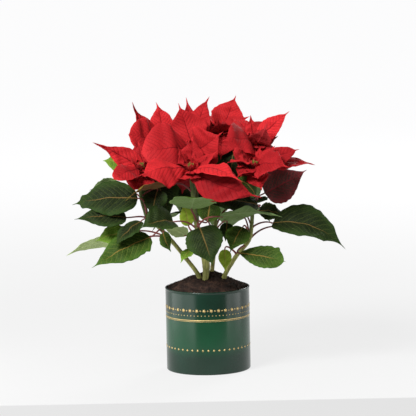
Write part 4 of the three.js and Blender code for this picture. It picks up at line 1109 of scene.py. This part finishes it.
def bracts_of(bloom):
    """All bracts in the plan of a bloom: placed, in rings, and the young ones in their spiral."""
    turn, centre = seat_of(bloom)
    for tip, width, faces, shape in bloom["placed"]:
        yield bract(bloom, vec(tip), width, vec(faces), shape, BRACT_DEPTH)
    for azimuth, elevation, length, width in bloom["ring"]:
        tip = heading(azimuth, elevation) * length + centre
        yield bract(bloom, tip, width, heading(azimuth, elevation + 90), {"arch": RING_ARCH}, BRACT_DEPTH)
    count, start, length = bloom["inner"]
    for i in range(count):
        azimuth, elevation = start + i * GOLDEN_ANGLE, INNER_ELEVATION + INNER_RISE * i
        reach = length * (1.25 - 0.12 * i)
        tip = turn @ heading(azimuth, elevation) * reach + centre
        faces = turn @ heading(azimuth, elevation + 90)
        yield bract(bloom, tip, INNER_WIDTH * reach, faces, {"arch": INNER_ARCH}, INNER_DEPTH)


def nest_of(bloom):
    """The smallest bracts, round the flower buds: a row that closes in over them and three below."""
    turn, centre = seat_of(bloom)
    swerve, growth, lift = NEST_CHANCE
    for count, length, elevation in NEST_ROWS:
        for i in range(count):
            azimuth = 360 * i / count + swerve * grain.random()
            reach = length + growth * grain.random()
            root = turn @ (heading(azimuth, 0) * NEST_RADIUS - vec((0, 0, NEST_DEPTH))) + centre
            tip = turn @ (heading(azimuth, elevation + lift * grain.random()) * reach) + centre
            faces = turn @ heading(azimuth + 180, 68 - elevation)
            yield Blade(root, tip, faces, NEST_WIDTH * reach, BRACT_OUTLINE, root, NEST_SHAPE)


def make_bloom(name, bloom):
    """A head of bracts on its receptacle."""
    node = f"bloom_{name}"
    shape = Shape(RED_BRACT, STEM_BARK)
    for blade in bracts_of(bloom):
        grown = as_grown(blade, node)
        if grown:
            dress_blade(shape, grown, RED_BRACT, "bract")
    for blade in nest_of(bloom):
        dress_blade(shape, blade, RED_BRACT, "bract", NEST_GRID)
    radius, top, height = RECEPTACLE["radius"], RECEPTACLE["top_radius"], RECEPTACLE["height"]
    profile = [(0, -height), (2.6, -height), (0.8 * radius, -0.9 * height), (radius, -0.55 * height),
               (0.97 * radius, -0.25 * height), (top, -0.02 * height), (0, 0)]
    turn, centre = seat_of(bloom)
    points, faces = turned_patch(profile, RECEPTACLE_SIDES)
    shape.add(points @ turn.T + centre, faces, STEM_BARK)
    shape.piece(f"{name}_bloom", "bract", [node])


# Sections from foot to tip, as shares of a flower's radius and height.
BUD_PROFILE = [(0, 0), (0.5, 0.02), (0.8, 0.16), (0.98, 0.38), (1, 0.55), (0.86, 0.76), (0.6, 0.88),
               (0.66, 0.95), (0.5, 1.0), (0.25, 0.97), (0, 0.93)]
GLAND_PROFILE = [(0, 0), (0.6, 0.05), (1, 0.35), (1, 0.7), (0.7, 1), (0.3, 0.85), (0, 0.8)]
GLAND_TINT = 0.76
DOME = [(0, 0), (5.6, 0), (5.5, 1), (4.6, 2.6), (2.4, 3.3), (0, 3.5)]
DOME_TINT = 0.2
# The flower in the middle, and two rings of four round it: distance from the middle, azimuth of the
# first, what chance adds to it, height and radius.
FLOWER_RINGS = [(3.9, 0, 20, 5.4, 1.5), (3.3, 45, 14, 4.2, 1.1)]
MIDDLE_FLOWER = (0, 0, 6.4, 1.7)
FLOWER_LEAN = 0.32
FOOT_REACH, FOOT_RISE = 0.8, 1.6
# A gland's place and size, as shares of its flower's radius and height.
GLAND_REACH, GLAND_RISE, GLAND_WIDTH, GLAND_HEIGHT = 0.95, 0.62, 0.45, 0.24
DOME_RISE = 0.35


def make_buds(name, bloom):
    """A bunch of small urn-shaped flowers on a low dome, each with a red mouth and a yellow gland."""
    shape = Shape(FLOWER_BUD)
    turn, centre = seat_of(bloom)
    seat = centre + unit(vec(bloom["axis"])) * DOME_RISE
    points, faces = turned_patch(DOME, DOME_SIDES)
    shape.add(points @ turn.T + seat, faces, FLOWER_BUD, np.full((len(points), 3), DOME_TINT))
    flowers = [MIDDLE_FLOWER]
    for reach, first, swerve, height, radius in FLOWER_RINGS:
        flowers += [(reach, 90 * i + first + swerve * grain.random(), height, radius) for i in range(4)]
    for reach, azimuth, height, radius in flowers:
        out = heading(azimuth, 0)
        lean = basis(unit(vec((0, 0, 1)) + out * (FLOWER_LEAN if reach else 0)))
        foot = out * reach * FOOT_REACH + vec((0, 0, FOOT_RISE))
        gland = foot + lean @ (out * GLAND_REACH * radius + vec((0, 0, GLAND_RISE * height)))
        for profile, wide, tall, place in (
            (BUD_PROFILE, radius, height, foot),
            (GLAND_PROFILE, GLAND_WIDTH * radius, GLAND_HEIGHT * height, gland),
        ):
            points, faces = turned_patch([(r * wide, z * tall) for r, z in profile], FLOWER_SIDES)
            tint = points[:, 2:] / tall if profile is BUD_PROFILE else np.full((len(points), 1), GLAND_TINT)
            points = (points @ lean.T + place) @ turn.T + seat
            shape.add(points, faces, FLOWER_BUD, np.repeat(tint, 3, axis=1))
    shape.piece(f"{name}_buds", "buds", [f"buds_{name}"])


# ---------------------------------------------------------------- soil

MOUND_RINGS, MOUND_SIDES = 44, 120
MOUND_ROUGHNESS = 0.28
ROUGHNESS_SEED = 4
CRUMBS = {"Density": 260000.0, "Least": 0.5 * MM, "Most": 1.7 * MM, "Seed": 11}


def mound_heights():
    """The radius of the mound, and its height at a place, with the same lumps as its solid."""
    radius = POT["radius"] - POT["wall"] - 2 * SOIL["gap"] - POT["bead"] / 2
    edge = POT["height"] - SOIL["edge_drop"]
    random = random_from(SOIL_SEED)
    bumps = [SOIL["heap"]]
    for _ in range(SOIL["lumps"]):
        angle = 2 * math.pi * next(random)
        reach = radius * SOIL["lump_reach"] * math.sqrt(next(random))
        height = SOIL["lump_height"] * (next(random) - SOIL["lump_sink"])
        bumps.append((reach * math.cos(angle), reach * math.sin(angle), height, SOIL["lump_spread"]))

    def height_at(x, y):
        share = np.minimum(np.hypot(x, y) / radius, 1)
        z = edge + (SOIL["crown"] + SOIL["edge_drop"]) * (1 - share) ** 0.9 * (1 + 0.25 * share)
        for bump_x, bump_y, height, spread in bumps:
            z = z + height * np.exp(-((x - bump_x) ** 2 + (y - bump_y) ** 2) / spread) * (1 - share**4)
        return z

    return radius, height_at


def crumb_plan():
    """Strews flattened crumbs over a surface."""
    plan = MeshPlan("crumbs", CRUMBS)

    def random_triple(low, high, seed):
        return plan.add("FunctionNodeRandomValue", {0: low, 1: high, "Seed": seed}, data_type="FLOAT_VECTOR")

    seed = plan.size("Seed")
    places = plan.add("GeometryNodeDistributePointsOnFaces",
                      {"Mesh": plan.source, "Density": plan.size("Density"), "Seed": seed})
    crumb = plan.add("GeometryNodeMeshIcoSphere", {"Radius": 1.0, "Subdivisions": 1})
    draw = {2: plan.size("Least"), 3: plan.size("Most"), "Seed": seed}
    size = plan.add("FunctionNodeRandomValue", draw, output=1, data_type="FLOAT")
    stretch = random_triple((0.6, 0.5, 0.35), (1.5, 1.1, 0.8), 3)
    turn = random_triple((-0.6, -0.6, 0), (0.6, 0.6, 6.28), 5)
    scale = plan.add("ShaderNodeVectorMath", {0: stretch, "Scale": size}, operation="SCALE")
    sockets = {"Points": places, "Instance": crumb, "Rotation": turn, "Scale": scale}
    plan.ends(plan.add("GeometryNodeInstanceOnPoints", sockets), PEAT)
    return plan


def make_soil():
    """The mound with its crumbs, down to the pot's floor."""
    radius, height_at = mound_heights()
    chance = np.random.default_rng(ROUGHNESS_SEED)
    rough = chance.normal(0, MOUND_ROUGHNESS, (MOUND_RINGS, MOUND_SIDES))
    rough[-1] = 0
    angles = np.arange(MOUND_SIDES) * 2 * math.pi / MOUND_SIDES
    reach = radius * np.arange(1, MOUND_RINGS + 1)[:, None] / MOUND_RINGS
    x, y = reach * np.cos(angles), reach * np.sin(angles)
    mound = np.stack([x, y, height_at(x, y) + rough], axis=2).reshape(-1, 3)
    top = np.concatenate([[(0, 0, height_at(0, 0))], mound])
    bottom = vec((0, 0, POT["floor"] + SOIL["gap"]))
    points = np.concatenate([top, mound[-MOUND_SIDES:] * (1, 1, 0) + bottom, [bottom]])
    surface = [face[::-1] for face in grid_faces(MOUND_RINGS, MOUND_SIDES, 1, closed=True)]
    faces = [[0, 1 + k, 1 + (k + 1) % MOUND_SIDES] for k in range(MOUND_SIDES)] + surface
    for k in range(MOUND_SIDES):
        following = (k + 1) % MOUND_SIDES
        rim, foot = len(top) - MOUND_SIDES, len(top)
        faces.append([rim + k, foot + k, foot + following, rim + following])
        faces.append([foot + following, foot + k, len(points) - 1])
    shape = Shape(PEAT)
    shape.add(points, faces, PEAT)
    shape.add_mesh(crumb_plan().made(new_mesh("mound", top, surface)), PEAT)
    shape.piece("potting_soil", "soil", ["soil"])


# ---------------------------------------------------------------- pot

POT_SIDES = 144
# Rows of gold stars: count, points, inner and outer radius, height, and shift along the row.
STAR_ROWS = [
    (36, 8, 1.1, 3.1, 92.5, 0.5),
    (36, 4, 0.5, 1.5, 92.5, 0.0),
    (72, 16, 0.62, 0.7, 85.5, 0.25),
    (48, 4, 0.9, 1.9, 35.5, 0.0),
]
STAR_THICKNESS, STAR_SUNK = 0.22, 0.06
LINES = [(79.0, 0.5), (77.2, 0.25)]  # height and half width of the plain gold lines
LINE_INSIDE, LINE_OUTSIDE = 0.1, 0.16


def arc(x, z, radius, start, stop, steps):
    """Points of an arc round (x, z), between two angles in degrees."""
    angles = np.radians(np.linspace(start, stop, steps + 1))
    return [(x + radius * math.cos(angle), z + radius * math.sin(angle)) for angle in angles]


def pot_profile():
    """The pot's section from the centre of its underside over the rim to the centre of its floor."""
    radius, height, floor = POT["radius"], POT["height"], POT["floor"]
    bead, corner, inside = POT["bead"], POT["corner"], radius - POT["wall"]
    return [
        (0, 0), (radius - corner - 3, 0), *arc(radius - corner, corner, corner, -90, 0, 8),
        (radius, 3.5), (radius, height / 2), (radius, height - 4 * bead),
        *arc(radius - POT["wall"] / 2, height - bead, bead, -60, 240, 12),
        (inside, height - 2.4 * bead), (inside, 8), (inside, floor), (inside - 2, floor), (0, floor),
    ]


def star_plan(count, points, inner, outer, height, shift):
    """A row of small stars laid round the pot, each a thin raised plate."""
    plan = MeshPlan("stars", {
        "Count": count, "Points": points, "Inner": inner * MM, "Outer": outer * MM, "Height": height * MM,
        "Shift": shift, "Radius": POT["radius"] * MM, "Thickness": STAR_THICKNESS * MM,
    })
    outline = {"Points": plan.size("Points"), "Inner Radius": plan.size("Inner")}
    outline["Outer Radius"] = plan.size("Outer")
    star = plan.add("GeometryNodeFillCurve", {0: plan.add("GeometryNodeCurveStar", outline)})
    plate = plan.add("GeometryNodeExtrudeMesh",
                     {"Mesh": star, "Offset Scale": plan.size("Thickness"), "Individual": False})
    spacing = plan.size("Radius") * (2 * math.pi) / plan.size("Count")
    offset = plan.add("ShaderNodeCombineXYZ", {0: spacing})
    start = plan.add("ShaderNodeCombineXYZ", {0: spacing * plan.size("Shift"), 1: plan.size("Height")})
    line = plan.add("GeometryNodeMeshLine",
                    {"Count": plan.size("Count"), "Start Location": start, "Offset": offset})
    row_of_stars = plan.add("GeometryNodeInstanceOnPoints", {"Points": line, "Instance": plate})
    real = plan.add("GeometryNodeRealizeInstances", {0: row_of_stars})
    flat = plan.part(plan.add("GeometryNodeInputPosition"), "X")
    angle = flat / plan.size("Radius")
    reach = plan.size("Radius") + flat.output("Z") - STAR_SUNK * MM
    bent = plan.add("ShaderNodeCombineXYZ", {
        0: angle.math("SINE") * reach,
        1: angle.math("COSINE") * reach * -1.0,
        2: flat.output("Y"),
    })
    plan.ends(plan.add("GeometryNodeSetPosition", {"Geometry": real, "Position": bent}), GOLD)
    return plan


def make_pot():
    shape = Shape(LACQUER, GOLD)
    shape.add(*turned_patch(pot_profile(), POT_SIDES), LACQUER)
    for stars in STAR_ROWS:
        shape.add_mesh(star_plan(*stars).made(bpy.data.meshes.new("stars")), GOLD)
    low, high = POT["radius"] - LINE_INSIDE, POT["radius"] + LINE_OUTSIDE
    for height, half in LINES:
        below, above = height - half, height + half
        points = ring_points([(low, below), (high, below), (high, above), (low, above)], POT_SIDES)
        faces = grid_faces(4, POT_SIDES, closed=True)
        last = 3 * POT_SIDES
        faces += [[last + k, last + (k + 1) % POT_SIDES, (k + 1) % POT_SIDES, k] for k in range(POT_SIDES)]
        shape.add(np.array(points), faces, GOLD)
    shape.piece("tin_pot", "pot", ["pot"])


# ---------------------------------------------------------------- the whole plant

make_pot()
make_soil()
for stem_name in STEMS:
    make_stem(stem_name)
for leaf_name in LEAVES:
    make_leaf(leaf_name)
for bloom_name, bloom_plan in BLOOMS.items():
    make_bloom(bloom_name, bloom_plan)
    make_buds(bloom_name, bloom_plan)


# ---------------------------------------------------------------- stage, light and camera

BOARD = {"half": 16000, "front": 249, "depth": 120}  # front is measured from the pot's axis
SKY_STRENGTH = 0.24
# Place, target, width, height and power of each area light, in metres and watts.
LIGHTS = {
    "key": ((-1.1, -1.6, 1.9), (0, 0, 0.25), 0.85, 0.85, 96),
    "rear": ((1.0, 2.0, 1.4), (0, 0, 0.2), 0.8, 0.8, 20),
    "left_panel": ((-0.6, -0.475, 0), (0.373, -0.708, 0), 1.29, 0.5, 3.6),
    "right_panel": ((0.7, -0.32, 0), (-0.185, -0.786, 0), 0.86, 0.5, 2.6),
}
VIEW = {"target": (0.0033, 0, 0.2317), "elevation": 8, "roll": 1.15, "distance": 5.0, "pixel": 0.001427}
IMAGE_WIDTH = 416
SENSOR_WIDTH = 36


def make_floor():
    half, front, low = BOARD["half"], -BOARD["front"], -BOARD["depth"]
    top = [(-half, front, 0), (half, front, 0), (half, half, 0), (-half, half, 0)]
    mesh = new_mesh("floor", [*top, (-half, front, low), (half, front, low)], [[0, 1, 2, 3], [4, 5, 1, 0]])
    mesh.materials.append(FLOOR)
    floor = new_object("floor", mesh)


def make_light(name, place, target, width, height, energy):
    light = bpy.data.lights.new(name, "AREA")
    light.shape = "RECTANGLE"
    light.size, light.size_y, light.energy = width, height, energy
    lamp = new_object(name, light)
    lamp.location = place
    lamp.rotation_euler = (Vector(target) - Vector(place)).to_track_quat("-Z", "Y").to_euler()


def make_sky():
    world = bpy.data.worlds.new("studio")
    world.use_nodes = True
    plan = NodePlan(world.node_tree)
    glow = plan.add("ShaderNodeBackground", {"Color": (1, 1, 1, 1), "Strength": SKY_STRENGTH})
    plan.add("ShaderNodeOutputWorld", {"Surface": glow})
    bpy.context.scene.world = world


def make_camera():
    elevation, roll = math.radians(VIEW["elevation"]), math.radians(VIEW["roll"])
    forward = Vector((0, math.cos(elevation), -math.sin(elevation)))
    right = forward.cross(Vector((0, 0, 1))).normalized()
    up = right.cross(forward)
    x = right * math.cos(roll) - up * math.sin(roll)
    y = right * math.sin(roll) + up * math.cos(roll)
    lens = bpy.data.cameras.new("camera")
    lens.sensor_width = SENSOR_WIDTH
    lens.lens = SENSOR_WIDTH * VIEW["distance"] / (IMAGE_WIDTH * VIEW["pixel"])
    lens.clip_end = 40
    camera = new_object("camera", lens)
    placed = Matrix((x, y, -forward)).transposed().to_4x4()
    placed.translation = Vector(VIEW["target"]) - forward * VIEW["distance"]
    camera.matrix_world = placed
    bpy.context.scene.camera = camera


make_floor()
make_sky()
for light_name, light_plan in LIGHTS.items():
    make_light(light_name, *light_plan)
make_camera()
bpy.context.scene.view_settings.view_transform = "Standard"
